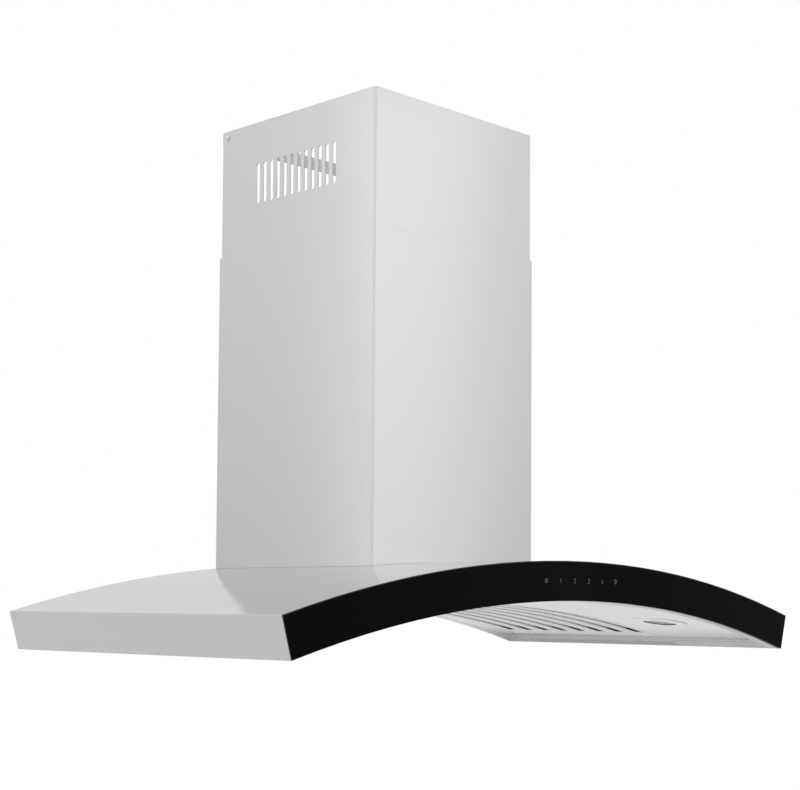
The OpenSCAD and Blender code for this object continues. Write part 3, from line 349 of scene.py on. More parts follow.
def galvanised(name, tone):
    """Zinc coated sheet with flat crystals and dull edges."""
    material, g, shader = start_material(name, Metallic=1.0)
    zinc = effect(g, "Zinc Spangle", Scale=150.0)
    edge = effect(g, "Soft Edge", Radius=0.0006)
    dust = effect(g, "Fine Dust", Scale=40.0)["Mask"]
    colour = g.mix(zinc["Tone"], shade(tone, 0.8), shade(tone, 1.12))
    colour = g.mix(g.math("MULTIPLY", dust, 0.25), colour, (0.42, 0.41, 0.39, 1.0))
    rough = g.math("ADD", g.remap(zinc["Tone"], 0.3, 0.5), g.math("MULTIPLY", dust, 0.25))
    bump = g.add("ShaderNodeBump", {"Strength": 0.12, "Distance": 0.0003,
                                    "Height": zinc["Rim"], "Normal": edge["Normal"]})
    feed(g, shader, Base_Color=colour, Roughness=rough, Normal=bump.outputs[0])
    return material


def plain_metal(name, tone, roughness, scale, depth, metallic=1.0):
    """Cast, plated or painted metal with a fine skin and lighter edges."""
    material, g, shader = start_material(name, Metallic=metallic)
    skin = effect(g, "Moulded Grain", Scale=scale)
    edge = effect(g, "Soft Edge", Radius=0.0005)
    colour = g.mix(skin["Tone"], shade(tone, 0.88), shade(tone, 1.08))
    colour = g.mix(g.math("MULTIPLY", edge["Mask"], 0.4), colour, shade(tone, 1.3))
    rough = g.remap(skin["Tone"], roughness - 0.07, roughness + 0.07)
    bump = g.add("ShaderNodeBump", {"Strength": depth, "Distance": 0.0004,
                                    "Height": skin["Height"], "Normal": edge["Normal"]})
    feed(g, shader, Base_Color=colour, Roughness=rough, Normal=bump.outputs[0])
    return material


def moulded(name, tone, roughness, scale, depth):
    """Moulded plastic or rubber."""
    return plain_metal(name, tone, roughness, scale, depth, metallic=0.0)


def lamp_lens(name, tone):
    """Frosted lens with a honeycomb of tiny lenses on its face."""
    material, g, shader = start_material(name, Specular_IOR_Level=0.5,
                                         Subsurface_Weight=0.1)
    skin = effect(g, "Moulded Grain", Scale=420.0)
    marks = effect(g, "Wiped Smudges", Scale=30.0)["Amount"]
    edge = effect(g, "Soft Edge", Radius=0.0006)
    colour = g.mix(skin["Height"], shade(tone, 0.9), tone)
    bump = g.add("ShaderNodeBump", {"Strength": 0.5, "Distance": 0.0005,
                                    "Height": skin["Height"], "Normal": edge["Normal"]})
    feed(g, shader, Base_Color=colour, Roughness=g.remap(marks, 0.3, 0.42),
         Normal=bump.outputs[0])
    return material


def circuit_board(name, tone, trace):
    """Lacquered board with copper traces under the lacquer."""
    material, g, shader = start_material(name, Coat_Weight=0.4)
    place = g.add("ShaderNodeTexCoord").outputs["Object"]
    lines = g.add("ShaderNodeTexBrick", {"Vector": place, "Scale": 260.0,
                                         "Mortar Size": 0.08, "Color1": (0, 0, 0, 1),
                                         "Color2": (0, 0, 0, 1), "Mortar": (1, 1, 1, 1)})
    skin = effect(g, "Moulded Grain", Scale=600.0)
    colour = g.mix(lines.outputs["Fac"], tone, trace)
    bump = g.add("ShaderNodeBump", {"Strength": 0.2, "Distance": 0.0002,
                                    "Height": lines.outputs["Fac"]})
    feed(g, shader, Base_Color=colour, Roughness=g.remap(skin["Tone"], 0.25, 0.4),
         Normal=bump.outputs[0])
    return material


MATERIALS = {}


def finish(name):
    """The finish of that name, built when it is first asked for."""
    if name not in MATERIALS:
        tones = bpy.context.scene.hood_tones
        steel, zinc = (*tones.steel, 1.0), (*tones.zinc, 1.0)
        MATERIALS[name] = {
            "canopy steel": lambda: brushed_steel("Canopy Steel", steel, 0.13,
                                                  depth=0.004),
            "chimney steel": lambda: brushed_steel("Chimney Steel", steel,
                                                   tones.steel_rough, along="Z"),
            # Painted light and shade: the panel, lip and filter steels are copies of the
            # one stainless sheet, their tones raised to stand in for light that falls short
            # under the hood and in the filters' slots; the lip's tone stays below the
            # panel's and its flat-angle tint is darker, as painted shade on its reflection
            "panel steel painted lighter": lambda: brushed_steel("Panel Steel Painted Lighter", shade(steel, 1.4),
                                                 tones.steel_rough + 0.1),
            "lip steel painted lighter": lambda: brushed_steel("Lip Steel Painted Lighter", shade(steel, 1.15),
                                               tones.steel_rough + 0.2, edge_tint=0.75),
            "filter steel painted lighter": lambda: brushed_steel("Filter Steel Painted Lighter", shade(steel, 1.22),
                                                  tones.steel_rough + 0.3),
            "spring steel": lambda: brushed_steel("Spring Steel", shade(steel, 0.8),
                                                  0.3),
            "black glass": lambda: black_glass("Black Glass", (*tones.glass, 1.0)),
            "galvanised": lambda: galvanised("Galvanised Sheet", zinc),
            "plated steel": lambda: plain_metal("Plated Steel", (0.68, 0.68, 0.69, 1),
                                                0.2, 900.0, 0.03),
            "zinc screw": lambda: plain_metal("Zinc Plated Screw", (0.76, 0.75, 0.73, 1),
                                              0.28, 1400.0, 0.05),
            "cast aluminium": lambda: plain_metal("Cast Aluminium", (0.6, 0.61, 0.62, 1),
                                                  0.42, 800.0, 0.25),
            "motor paint": lambda: plain_metal("Motor Paint", (0.025, 0.026, 0.028, 1),
                                               0.45, 500.0, 0.2, metallic=0.0),
            "copper spring": lambda: plain_metal("Copper Spring", (0.7, 0.42, 0.2, 1),
                                                 0.3, 900.0, 0.05),
            "lamp lens": lambda: lamp_lens("Lamp Lens", (0.78, 0.78, 0.77, 1.0)),
            "black plastic": lambda: moulded("Black Plastic", (0.02, 0.02, 0.021, 1),
                                             0.5, 1100.0, 0.3),
            "white plastic": lambda: moulded("White Plastic", (0.72, 0.72, 0.69, 1),
                                             0.45, 1100.0, 0.25),
            "rubber": lambda: moulded("Bush Rubber", (0.018, 0.018, 0.018, 1), 0.75,
                                      700.0, 0.4),
            "icon paint": lambda: moulded("Icon Paint", (*tones.icon, 1.0), 0.55,
                                          2500.0, 0.1),
            "circuit board": lambda: circuit_board("Circuit Board",
                                                   (0.02, 0.13, 0.05, 1),
                                                   (0.08, 0.3, 0.1, 1)),
        }[name]()
    return MATERIALS[name]


def dress(name, *nodes):
    """Gives CAD nodes a finish."""
    for node in nodes:
        obj = NODES[node]
        if not obj.material_slots:
            obj.data.materials.append(None)
        for place in obj.material_slots:
            place.material = finish(name)


def sides(*stems):
    """The names of left and right nodes, from their stems."""
    return [f"{stem}_{side}" for stem in stems for side in ("left", "right")]


# Mesh helpers


def new_piece(name, bm, finish_name, body, replaced=()):
    """Turns a bmesh into a smooth piece that rides on a body."""
    bmesh.ops.recalc_face_normals(bm, faces=bm.faces)
    mesh = bpy.data.meshes.new(name)
    bm.to_mesh(mesh)
    bm.free()
    for polygon in mesh.polygons:
        polygon.use_smooth = True
    mesh.set_sharp_from_angle(angle=math.radians(35))
    mesh.materials.append(finish(finish_name))
    obj = bpy.data.objects.new(name, mesh)
    bpy.context.scene.collection.objects.link(obj)
    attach(obj, body)
    if replaced:
        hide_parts(*replaced)
    return obj


def lathe(bm, profile, matrix, steps=32):
    """Turns a closed or axis-to-axis profile of (radius, z) round Z."""
    rings = []
    for radius, z in profile:
        if radius < 1e-7:
            rings.append([bm.verts.new(matrix @ Vector((0, 0, z)))])
            continue
        rings.append([bm.verts.new(matrix @ Vector((
            radius * math.cos(2 * math.pi * k / steps),
            radius * math.sin(2 * math.pi * k / steps), z))) for k in range(steps)])
    for lower, upper in zip(rings, rings[1:]):
        for k in range(steps):
            n = (k + 1) % steps
            corners = [lower[k % len(lower)], lower[n % len(lower)],
                       upper[n % len(upper)], upper[k % len(upper)]]
            unique = list(dict.fromkeys(corners))
            if len(unique) > 2:
                bm.faces.new(unique)


def ribbon(bm, points, width, matrix, height, closed=False):
    """A flat stroke along points in a plane, of a width and a height, ends square."""
    count = len(points)
    pairs = []
    for k, point in enumerate(points):
        before = points[k - 1] if k or closed else point
        after = points[(k + 1) % count] if k < count - 1 or closed else point
        along = Vector(after) - Vector(before)
        across = Vector((-along.y, along.x)).normalized() * width / 2
        pairs.append([[bm.verts.new(matrix @ Vector((point[0] + sign * across.x,
                                                     point[1] + sign * across.y, z)))
                       for z in (0, height)] for sign in (1, -1)])
    last = count if closed else count - 1
    for k in range(last):
        (a0, a1), (b0, b1) = pairs[k]
        (c0, c1), (d0, d1) = pairs[(k + 1) % count]
        for face in ((a1, b1, d1, c1), (a0, c0, d0, b0), (a0, a1, c1, c0),
                     (b0, d0, d1, b1)):
            bm.faces.new(face)
    if not closed:
        for k in (0, count - 1):
            (a0, a1), (b0, b1) = pairs[k]
            bm.faces.new((a0, b0, b1, a1))


def arc(centre, radius, start, end, steps=14):
    """Points along an arc, its angles in degrees."""
    return [(centre[0] + radius * math.cos(math.radians(start + (end - start) * k / steps)),
             centre[1] + radius * math.sin(math.radians(start + (end - start) * k / steps)))
            for k in range(steps + 1)]


# Property groups


class HoodTones(bpy.types.PropertyGroup):
    """Colours of the finishes"""

    steel: bpy.props.FloatVectorProperty(
        name="Steel", description="Tone of the stainless sheet", subtype="COLOR",
        default=(0.6, 0.6, 0.595), min=0, max=1)
    steel_rough: bpy.props.FloatProperty(
        name="Steel roughness", description="Roughness of the stainless sheet",
        default=0.2, min=0.1, max=0.6, subtype="FACTOR")
    zinc: bpy.props.FloatVectorProperty(
        name="Zinc", description="Tone of the galvanised sheet", subtype="COLOR",
        default=(0.5, 0.52, 0.53), min=0, max=1)
    glass: bpy.props.FloatVectorProperty(
        name="Glass", description="Tone of the black glass", subtype="COLOR",
        default=(0.0021, 0.0021, 0.0023), min=0, max=1)
    icon: bpy.props.FloatVectorProperty(
        name="Icons", description="Tone of the printed icons", subtype="COLOR",
        default=(0.2, 0.2, 0.2), min=0, max=1)


class HoodIcons(bpy.types.PropertyGroup):
    """Sizes of the printed touch icons"""

    centre_x: bpy.props.FloatProperty(
        name="Centre", description="Middle of the row, right of the hood's middle",
        default=9 * MM, unit="LENGTH")
    centre_z: bpy.props.FloatProperty(
        name="Height", description="Height of the row", default=-216 * MM, unit="LENGTH")
    pitch: bpy.props.FloatProperty(
        name="Pitch", description="Spacing of the icons", default=25.6 * MM,
        min=10 * MM, unit="LENGTH")
    size: bpy.props.FloatProperty(
        name="Size", description="Height of an icon", default=5.4 * MM, min=2 * MM,
        unit="LENGTH")
    stroke: bpy.props.FloatProperty(
        name="Stroke", description="Width of an icon's lines", default=0.75 * MM,
        min=0.2 * MM, unit="LENGTH")


class HoodScrews(bpy.types.PropertyGroup):
    """Sizes of the screws and rivets"""

    head_r: bpy.props.FloatProperty(
        name="Head radius", description="Radius of a screw's head", default=3.8 * MM,
        unit="LENGTH")
    head_h: bpy.props.FloatProperty(
        name="Head height", description="Height of a screw's head", default=2.4 * MM,
        unit="LENGTH")
    thread_r: bpy.props.FloatProperty(
        name="Thread radius", description="Radius of a screw's thread",
        default=1.85 * MM, unit="LENGTH")
    recess: bpy.props.FloatProperty(
        name="Recess", description="Depth of the cross recess", default=1.4 * MM,
        unit="LENGTH")
    rivet_r: bpy.props.FloatProperty(
        name="Rivet radius", description="Radius of a rivet's head", default=2.2 * MM,
        unit="LENGTH")


class HoodStage(bpy.types.PropertyGroup):
    """Floor, light and lens"""

    floor_drop: bpy.props.FloatProperty(
        name="Floor drop", description="Depth of the floor under the hood",
        default=1.3, min=0.1, unit="LENGTH")
    world_light: bpy.props.FloatProperty(
        name="World light", description="Strength of the light from all round",
        default=0.55, min=0, max=1)
    key_power: bpy.props.FloatProperty(
        name="Key light", description="Power of the light at the front right",
        default=1.9, min=0, unit="POWER")
    fill_power: bpy.props.FloatProperty(
        name="Fill light", description="Power of the light at the left",
        default=1.2, min=0, unit="POWER")
    top_power: bpy.props.FloatProperty(
        name="Top light", description="Power of the light above", default=2.5, min=0,
        unit="POWER")
    low_power: bpy.props.FloatProperty(
        name="Low light", description="Power of the light under the hood's right",
        default=3.0, min=0, unit="POWER")


# Operators


class HOOD_OT_shell(bpy.types.Operator):
    """Finishes the canopy, the underside panel and the chimney covers"""

    bl_idname = "hood.shell"
    bl_label = "Canopy and Chimney"

    def execute(self, context):
        dress("canopy steel", "canopy_shell")
        dress("chimney steel", "lower_cover", "upper_cover")
        dress("lip steel painted lighter", "front_channel")
        dress("panel steel painted lighter", "rear_panel", "underside_panel", "filter_rail")
        dress("galvanised", "wall_bracket")
        self.spot_welds()
        return {"FINISHED"}

    def spot_welds(self):
        """Shallow dimples of the welds along the rear panel's top."""
        bm = bmesh.new()
        end_gap, row_drop, count = 40 * MM, 7 * MM, 15
        reach = HALF_W - end_gap
        profile = [(2.6 * MM, 0), (2.2 * MM, 0.2 * MM), (1.2 * MM, 0.12 * MM),
                   (0, 0.05 * MM)]
        for k in range(count):
            x = -reach + 2 * reach * k / (count - 1)
            if abs(x) < corner("blower_box", 1).x:
                continue
            place = on_arch(x, 0, ARCH_R - row_drop)
            place = place @ Matrix.Rotation(-math.pi / 2, 4, "X")
            lathe(bm, profile, place, steps=20)
        new_piece("spot_welds", bm, "canopy steel", "hood")


class HOOD_OT_fascia(bpy.types.Operator):
    """Finishes the black glass and prints the six touch icons on it"""

    bl_idname = "hood.fascia"
    bl_label = "Glass Fascia"

    def execute(self, context):
        dress("black glass", "fascia_glass")
        dress("black plastic", "board_carrier")
        dress("circuit board", "control_board")
        dress("copper spring", "touch_springs")
        icons = context.scene.hood_icons
        paint_h = 0.06 * MM
        bm = bmesh.new()
        count = len(self.figures())
        for k, strokes in enumerate(self.figures()):
            x = icons.centre_x + (k - (count - 1) / 2) * icons.pitch
            place = Matrix.Translation((x, GLASS_Y, icons.centre_z))
            place = place @ Matrix.Rotation(math.pi / 2, 4, "X")
            place = place @ Matrix.Scale(icons.size, 4)
            for points, closed in strokes:
                ribbon(bm, points, icons.stroke / icons.size, place,
                       paint_h / icons.size, closed)
        new_piece("touch_icons", bm, "icon paint", "hood")
        self.edge_black_strip()
        return {"FINISHED"}

    def edge_black_strip(self):
        """A thin black strip over the front edge of the canopy's sheet, beside the glass,
        which makes that edge dark."""
        front = corner("canopy_shell", 0).y
        bm = bmesh.new()
        bm.from_mesh(NODES["canopy_shell"].data)
        inner = [face for face in bm.faces if face.normal.y > -0.99
                 or face.calc_center_median().y > front + 0.05 * MM]
        bmesh.ops.delete(bm, geom=inner, context="FACES")
        grown = bmesh.ops.extrude_face_region(bm, geom=list(bm.faces))["geom"]
        for vert in (item for item in grown if isinstance(item, bmesh.types.BMVert)):
            vert.co.y = GLASS_Y
        for vert in bm.verts:
            if vert.co.y > GLASS_Y + 0.01 * MM:
                vert.co.y = front - PLAY
        new_piece("edge_black_strip", bm, "black plastic", "hood")

    def figures(self):
        """Strokes of the icons in a square of side 1 about (0, 0): power, one to four
        and a lamp."""
        power = [(arc((0, -0.05), 0.42, 125, 415, 22), False),
                 ([(0, 0.5), (0, 0.05)], False)]
        one = [([(-0.16, 0.3), (0.04, 0.48), (0.04, -0.48)], False)]
        two = [(arc((0, 0.2), 0.28, 170, -35, 12) + [(-0.3, -0.46), (0.32, -0.46)], False)]
        three = [(arc((0, 0.23), 0.25, 160, -90, 12), False),
                 (arc((0, -0.22), 0.27, 90, -160, 12), False)]
        four = [([(0.12, -0.48), (0.12, 0.48), (-0.3, -0.2), (0.32, -0.2)], False)]
        lamp = [(arc((0, 0.12), 0.34, -55, 235, 18) + [(-0.14, -0.3), (0.14, -0.3)], True),
                ([(-0.13, -0.45), (0.13, -0.45)], False)]
        return [power, one, two, three, four, lamp]


class HOOD_OT_filters(bpy.types.Operator):
    """Finishes the two baffle filters and rivets their handles on"""

    bl_idname = "hood.filters"
    bl_label = "Baffle Filters"

    def execute(self, context):
        dress("filter steel painted lighter", *sides("filter_frame", "lower_baffles", "upper_baffles"))
        dress("plated steel", *sides("filter_handle"))
        dress("spring steel", "filter_springs")
        radius = context.scene.hood_screws.rivet_r
        # Distance of a rivet from the handle's end, and of its seat from the panel's arch
        end_gap, seat_drop = 4.5 * MM, 1.55 * MM
        for side in ("left", "right"):
            low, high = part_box(f"filter_handle_{side}")
            x = (low.x + high.x) / 2
            bm = bmesh.new()
            for y in (low.y + end_gap, high.y - end_gap):
                place = on_arch(x, y, PANEL_R - seat_drop, PANEL_Z)
                place = place @ Matrix.Rotation(math.pi, 4, "X")
                lathe(bm, [(radius, 0), (radius, 0.3 * MM), (radius * 0.8, 0.85 * MM),
                           (radius * 0.4, 1.1 * MM), (0, 1.15 * MM)], place, steps=24)
            new_piece(f"handle_rivets_{side}", bm, "plated steel", f"filter_{side}")
        return {"FINISHED"}


class HOOD_OT_lamps(bpy.types.Operator):
    """Finishes the lamps and their driver"""

    bl_idname = "hood.lamps"
    bl_label = "Lamps"

    def execute(self, context):
        dress("panel steel painted lighter", *sides("lamp_rim"))
        dress("lamp lens", *sides("lamp_lens"))
        dress("cast aluminium", *sides("lamp_housing"))
        dress("white plastic", "lamp_driver")
        self.shade_rings()
        return {"FINISHED"}

    def shade_rings(self):
        """A black ring low in each rim's bore, as painted shade on the lower part of the
        recess wall.
        """
        # Wall of the ring, and half its height
        wall, half_h = 0.5 * MM, 0.5 * MM
        for side in ("left", "right"):
            low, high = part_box(f"lamp_lens_{side}")
            middle = (low + high) / 2
            angle = math.atan2(middle.x, middle.z - PANEL_Z)
            place = on_arch(PANEL_R * math.sin(angle), middle.y, PANEL_R, PANEL_Z)
            bore = (high.y - low.y) / 2 - RIM_WALL - PLAY
            inner = bore - wall
            bm = bmesh.new()
            profile = [(bore, -half_h), (bore, half_h), (inner, half_h),
                       (inner, -half_h), (bore, -half_h)]
            lathe(bm, profile, place, steps=64)
            bmesh.ops.remove_doubles(bm, verts=bm.verts, dist=MERGE)
            new_piece(f"lens_shade_ring_{side}", bm, "black plastic", "hood")


class HOOD_OT_blower(bpy.types.Operator):
    """Finishes the blower and its box"""

    bl_idname = "hood.blower"
    bl_label = "Blower"

    def execute(self, context):
        dress("galvanised", "mounting_plate", "blower_box", "fan_scroll", "motor_bracket",
              *sides("scroll_side", "inlet_ring"))
        dress("motor paint", "motor")
        dress("rubber", "motor_bushes")
        dress("cast aluminium", "impeller")
        dress("plated steel", "fan_shaft")
        return {"FINISHED"}


class HOOD_OT_duct(bpy.types.Operator):
    """Finishes the duct collar and its flaps"""

    bl_idname = "hood.duct"
    bl_label = "Duct Collar"

    def execute(self, context):
        dress("galvanised", "duct_collar")
        dress("plated steel", "flap_pin")
        dress("cast aluminium", "damper_flap_front", "damper_flap_rear")
        return {"FINISHED"}


class HOOD_OT_electrics(bpy.types.Operator):
    """Finishes the wiring box and what it holds"""

    bl_idname = "hood.electrics"
    bl_label = "Electrics"

    def execute(self, context):
        dress("galvanised", "wiring_box", "wiring_lid")
        dress("white plastic", "terminal_block")
        dress("black plastic", "cable_gland")
        dress("cast aluminium", "motor_capacitor")
        return {"FINISHED"}


class HOOD_OT_screws(bpy.types.Operator):
    """Cuts the pan head screws with their threads and cross recesses"""

    bl_idname = "hood.screws"
    bl_label = "Screws"

    def execute(self, context):
        screws = context.scene.hood_screws
        for node, body in (("blower_screws", "hood"), ("cover_screws", "hood"),
                           ("driver_screws", "hood"), ("bracket_screws", "upper_chimney")):
            bm = bmesh.new()
            for place, length in self.seats(node, screws):
                self.head(bm, screws, place)
                self.thread(bm, screws, place, length)
            new_piece(f"cross_{node}", bm, "zinc screw", body, [node])
        return {"FINISHED"}

    def seats(self, node, screws):
        """The frame and the thread's length of each screw in a CAD node: its origin is
        under the head, and its Z points out of the head's top."""
        bm = bmesh.new()
        bm.from_mesh(NODES[node].data)
        bmesh.ops.remove_doubles(bm, verts=bm.verts, dist=MERGE)
        left = set(bm.faces)
        while left:
            found = {left.pop()}
            edge = list(found)
            while edge:
                near = {face for side in edge.pop().edges for face in side.link_faces}
                near &= left
                left -= near
                found |= near
                edge += near
            yield self.seat(found, screws)
        bm.free()

    def seat(self, faces, screws):
        """The frame and the thread's length of the screw that these faces make up: it
        lies along the normal of its largest flat face, and its wider end is the head."""
        areas = {}
        for face in faces:
            line = tuple(round(value, 2) for value in face.normal)
            areas[line] = areas.get(line, 0) + face.calc_area()
        flat = max(areas, key=areas.get)
        axis = max(faces, key=lambda face: (tuple(round(value, 2) for value in face.normal)
                                            == flat, face.calc_area())).normal.copy()
        points = [vert.co for vert in {vert for face in faces for vert in face.verts}]
        heights = [point.dot(axis) for point in points]
        low, high = min(heights), max(heights)

        def reach(height):
            ring = [point for point, value in zip(points, heights)
                    if abs(value - height) < 0.01 * MM]
            middle = sum(ring, Vector()) / len(ring)
            return max((point - middle).length for point in ring), middle

        if reach(low)[0] > reach(high)[0]:
            axis, low, high = -axis, -high, -low
            heights = [-value for value in heights]
        top = reach(high)[1]
        turn = axis.to_track_quat("Z", "X").to_matrix().to_4x4()
        place = Matrix.Translation(top - axis * screws.head_h) @ turn
        return place, high - low - screws.head_h

    def head(self, bm, screws, place):
        """A domed head whose cross recess narrows as it goes down."""
        arm, half = 0.56 * screws.head_r, 0.13 * screws.head_r
        tip = math.atan2(half, arm)
        turns = [quarter * math.pi / 2 + angle for quarter in range(4)
                 for angle in (-0.5, -tip, 0, tip, 0.5, math.pi / 4)]

        def outline(angle, scale):
            off = abs((angle + math.pi / 4) % (math.pi / 2) - math.pi / 4)
            side = half / math.sin(off) if off > 1e-6 else arm
            return scale * min(arm / math.cos(off), side)

        r, h = screws.head_r, screws.head_h
        rings = [(lambda a: 0.5 * r, 0), (lambda a: 0.97 * r, 0), (lambda a: r, 0.08 * h),
                 (lambda a: r, 0.38 * h), (lambda a: 0.93 * r, 0.66 * h),
                 (lambda a: 0.78 * r, 0.9 * h), (lambda a: outline(a, 1.1), h),
                 (lambda a: outline(a, 1.0), h - 0.1 * MM),
                 (lambda a: outline(a, 0.72), h - screws.recess)]
        self.skin(bm, place, turns, rings, screws.recess * 0.15)

    def thread(self, bm, screws, place, length):
        """A helical thread that ends in a short taper."""
        pitch, r = 1.3 * MM, screws.thread_r
        steps, rows = 20, 4
        turns = [2 * math.pi * k / steps for k in range(steps)]
        count = max(2, round(rows * length / pitch))

        def crest(depth):
            taper = min(1.0, (length - depth) / (1.2 * r) + 0.35)
            return lambda angle: taper * r * (0.84 + 0.16 * abs(
                2 * ((depth / pitch + angle / (2 * math.pi)) % 1) - 1))

        rings = [(crest(length * k / count), -length * k / count)
                 for k in range(count + 1)]
        self.skin(bm, place, turns, rings, 0.1 * MM)

    def skin(self, bm, place, turns, rings, drop):
        """Joins rings of (radius by angle, z) and closes both ends."""
        loops = [[bm.verts.new(place @ Vector((radius(angle) * math.cos(angle),
                                               radius(angle) * math.sin(angle), z)))
                  for angle in turns] for radius, z in rings]
        last = rings[-1][1] - drop
        ends = (bm.verts.new(place @ Vector((0, 0, rings[0][1]))),
                bm.verts.new(place @ Vector((0, 0, last))))
        count = len(turns)
        for k in range(count):
            n = (k + 1) % count
            for lower, upper in zip(loops, loops[1:]):
                bm.faces.new((lower[k], lower[n], upper[n], upper[k]))
            bm.faces.new((loops[0][n], loops[0][k], ends[0]))
            bm.faces.new((loops[-1][k], loops[-1][n], ends[1]))


class HOOD_OT_stage(bpy.types.Operator):
    """Makes the floor, the light and the camera"""

    bl_idname = "hood.stage"
    bl_label = "Stage"

    def execute(self, context):
        stage = context.scene.hood_stage
        self.floor(stage)
        self.world(stage)
        boxes = (("Key", stage.key_power, (0.9, -1.8, 0.25), 1.15, 1.5),
                 ("Fill", stage.fill_power, (-1.7, 0.95, 0.3), 0.55, 1.5),
                 ("Top", stage.top_power, (-0.4, -1.2, 3.2), 2.0, 2.0),
                 ("Low", stage.low_power, (2.2, -2.6, -1.05), 2.4, 1.0))
        for name, power, place, width, height in boxes:
            self.softbox(name, power, Vector(place), width, height)
        self.camera(context)
        context.scene.view_settings.view_transform = "Standard"
        return {"FINISHED"}

    def seen(self, graph, dark, gloss, white):
        """A strength: white for camera rays and through glass, gloss in reflections, and
        dark for the light that falls on the object."""
        path = graph.add("ShaderNodeLightPath").outputs
        value = graph.math("MULTIPLY", path["Is Glossy Ray"],
                           graph.math("SUBTRACT", gloss, dark))
        clear = graph.math("ADD", path["Is Camera Ray"], path["Is Transmission Ray"],
                           clamp=True)
        value = graph.math("ADD", value, graph.math("MULTIPLY", clear, white - dark))
        return graph.math("ADD", value, dark)

    def floor(self, stage):
        # Strength of the floor's glow: in the picture, and in reflections near and far
        white, near, far = 0.93, 0.74, 0.5
        near_reach, far_reach = 5.0, 15.0
        bm = bmesh.new()
        bmesh.ops.create_grid(bm, x_segments=8, y_segments=8, size=30)
        mesh = bpy.data.meshes.new("floor")
        bm.to_mesh(mesh)
        bm.free()
        obj = bpy.data.objects.new("floor", mesh)
        obj.location.z = CAD_BOX[0][2] - stage.floor_drop
        bpy.context.scene.collection.objects.link(obj)
        material = bpy.data.materials.new("Pale Floor")
        material.use_nodes = True
        material.node_tree.nodes.clear()
        g = Graph(material.node_tree)
        pale = g.add("ShaderNodeBsdfDiffuse", {"Color": (0.85, 0.85, 0.85, 1)})
        away = g.add("ShaderNodeVectorMath", {
            0: g.add("ShaderNodeNewGeometry").outputs["Position"]}, operation="LENGTH")
        gloss = g.add("ShaderNodeMapRange", {"Value": away.outputs["Value"],
                                             "From Min": near_reach,
                                             "From Max": far_reach,
                                             "To Min": near, "To Max": far})
        strength = self.seen(g, 0, gloss.outputs["Result"], white)
        glow = g.add("ShaderNodeEmission", {"Color": (1, 1, 1, 1), "Strength": strength})
        dim = g.add("ShaderNodeBsdfDiffuse", {"Color": (0.2, 0.2, 0.2, 1)})
        lit = g.add("ShaderNodeAddShader", {0: glow.outputs[0], 1: dim.outputs[0]})
        both = g.add("ShaderNodeMixShader", {0: self.seen(g, 0, 1, 1), 1: pale.outputs[0],
                                             2: lit.outputs[0]})
        g.add("ShaderNodeOutputMaterial", {"Surface": both.outputs[0]})
        mesh.materials.append(material)

    def world(self, stage):
        # Strength seen in reflections at the horizon and above, and the rise between them
        horizon, above, rise_end = 0.84, 1.0, 0.35
        # Level direction away from the lens, and the changes of strength along it, each
        # with where it starts and where it is whole
        ahead = (0.7, 0.7, 0.0)
        changes = ((0.5, 0.95, -0.14), (-0.86, -0.97, 0.45))
        world = bpy.data.worlds.new("Studio")
        world.use_nodes = True
        world.node_tree.nodes.clear()
        g = Graph(world.node_tree)
        way = g.add("ShaderNodeTexCoord").outputs["Generated"]
        rise = g.add("ShaderNodeSeparateXYZ", {0: way}).outputs["Z"]
        sky = g.add("ShaderNodeMapRange", {"Value": rise, "From Min": 0.0,
                                           "From Max": rise_end, "To Min": horizon,
                                           "To Max": above}).outputs["Result"]
        behind = g.add("ShaderNodeVectorMath", {0: way, 1: ahead},
                       operation="DOT_PRODUCT").outputs["Value"]
        for start, end, change in changes:
            part = g.add("ShaderNodeMapRange", {"Value": behind, "From Min": start,
                                                "From Max": end, "To Max": change})
            sky = g.math("ADD", sky, part.outputs["Result"])
        strength = self.seen(g, stage.world_light, sky, 1.0)
        back = g.add("ShaderNodeBackground", {"Color": (1, 1, 1, 1),
                                              "Strength": strength})
        g.add("ShaderNodeOutputWorld", {"Surface": back.outputs[0]})
        bpy.context.scene.world = world

    def softbox(self, name, power, place, width, height):
        light = bpy.data.lights.new(name, "AREA")
        light.energy = power
        light.shape = "RECTANGLE"
        light.size = width
        light.size_y = height
        obj = bpy.data.objects.new(name, light)
        aim = Vector((0, -0.25, -0.05)) - place
        obj.location = place
        obj.rotation_euler = aim.to_track_quat("-Z", "Y").to_euler()
        bpy.context.scene.collection.objects.link(obj)

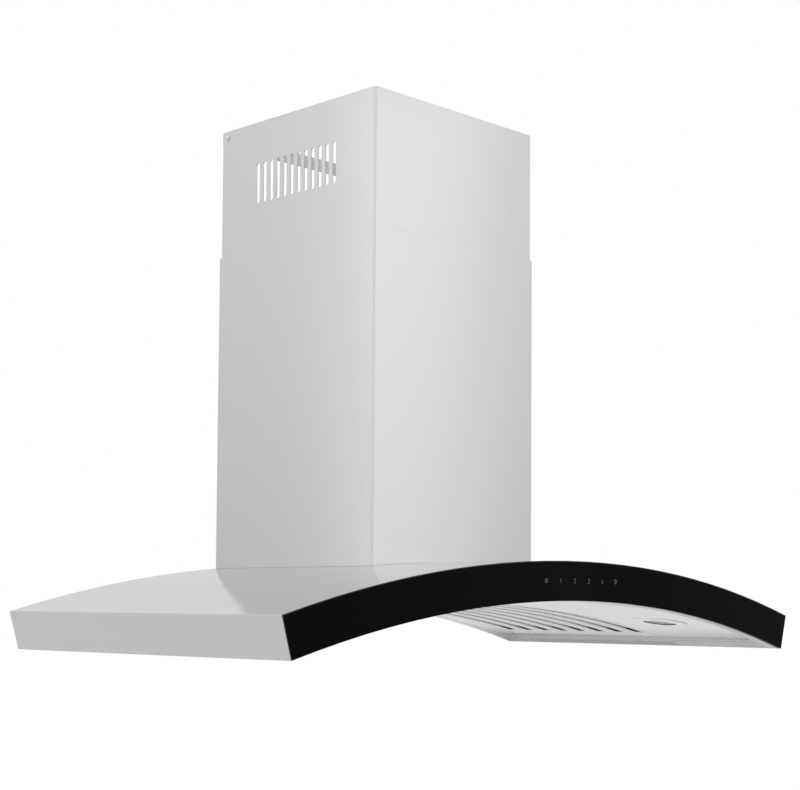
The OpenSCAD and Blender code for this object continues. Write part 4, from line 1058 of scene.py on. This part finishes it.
    def camera(self, context):
        """The lens and the place that the photograph's edges fit."""
        yaw, pitch, roll = (math.radians(value) for value in (45.281, 3.196, 0.414))
        focal_px = 1625.7
        centre_drop_px = 120.0
        place = (-1.4771, -1.6548, -0.2460)
        ahead = Vector((math.sin(yaw) * math.cos(pitch), math.cos(yaw) * math.cos(pitch),
                        math.sin(pitch)))
        level = Vector((math.cos(yaw), -math.sin(yaw), 0))
        rise = level.cross(ahead)
        right = level * math.cos(roll) + rise * math.sin(roll)
        top = rise * math.cos(roll) - level * math.sin(roll)
        lens = bpy.data.cameras.new("Camera")
        lens.sensor_width = 36.0
        lens.lens = focal_px / IMAGE_W * lens.sensor_width
        lens.shift_y = centre_drop_px / max(IMAGE_W, IMAGE_H)
        lens.clip_start = 0.05
        obj = bpy.data.objects.new("Camera", lens)
        turn = Matrix((right, top, -ahead)).transposed().to_4x4()
        obj.matrix_world = Matrix.Translation(place) @ turn
        context.scene.collection.objects.link(obj)
        context.scene.camera = obj


OPERATORS = (HOOD_OT_shell, HOOD_OT_fascia, HOOD_OT_filters, HOOD_OT_lamps,
             HOOD_OT_blower, HOOD_OT_duct, HOOD_OT_electrics, HOOD_OT_screws,
             HOOD_OT_stage)
SETTINGS = {"hood_tones": HoodTones, "hood_icons": HoodIcons,
            "hood_screws": HoodScrews, "hood_stage": HoodStage}


class HOOD_PT_panel(bpy.types.Panel):
    """Lists the hood's settings and the operators that dress it"""

    bl_idname = "HOOD_PT_panel"
    bl_label = "Range Hood"
    bl_space_type = "VIEW_3D"
    bl_region_type = "UI"
    bl_category = "Range Hood"

    def draw(self, context):
        for operator in OPERATORS:
            self.layout.operator(operator.bl_idname)
        for name, group in SETTINGS.items():
            box = self.layout.box()
            box.label(text=group.__doc__)
            for prop in group.__annotations__:
                box.prop(getattr(context.scene, name), prop)


def register():
    for cls in (*SETTINGS.values(), *OPERATORS, HOOD_PT_panel):
        bpy.utils.register_class(cls)
    for name, group in SETTINGS.items():
        setattr(bpy.types.Scene, name, bpy.props.PointerProperty(type=group))


def unregister():
    for name in SETTINGS:
        delattr(bpy.types.Scene, name)
    for cls in reversed((*SETTINGS.values(), *OPERATORS, HOOD_PT_panel)):
        bpy.utils.unregister_class(cls)


def main():
    register()
    for operator in OPERATORS:
        group, name = operator.bl_idname.split(".")
        getattr(getattr(bpy.ops, group), name)()


if __name__ == "__main__":
    main()
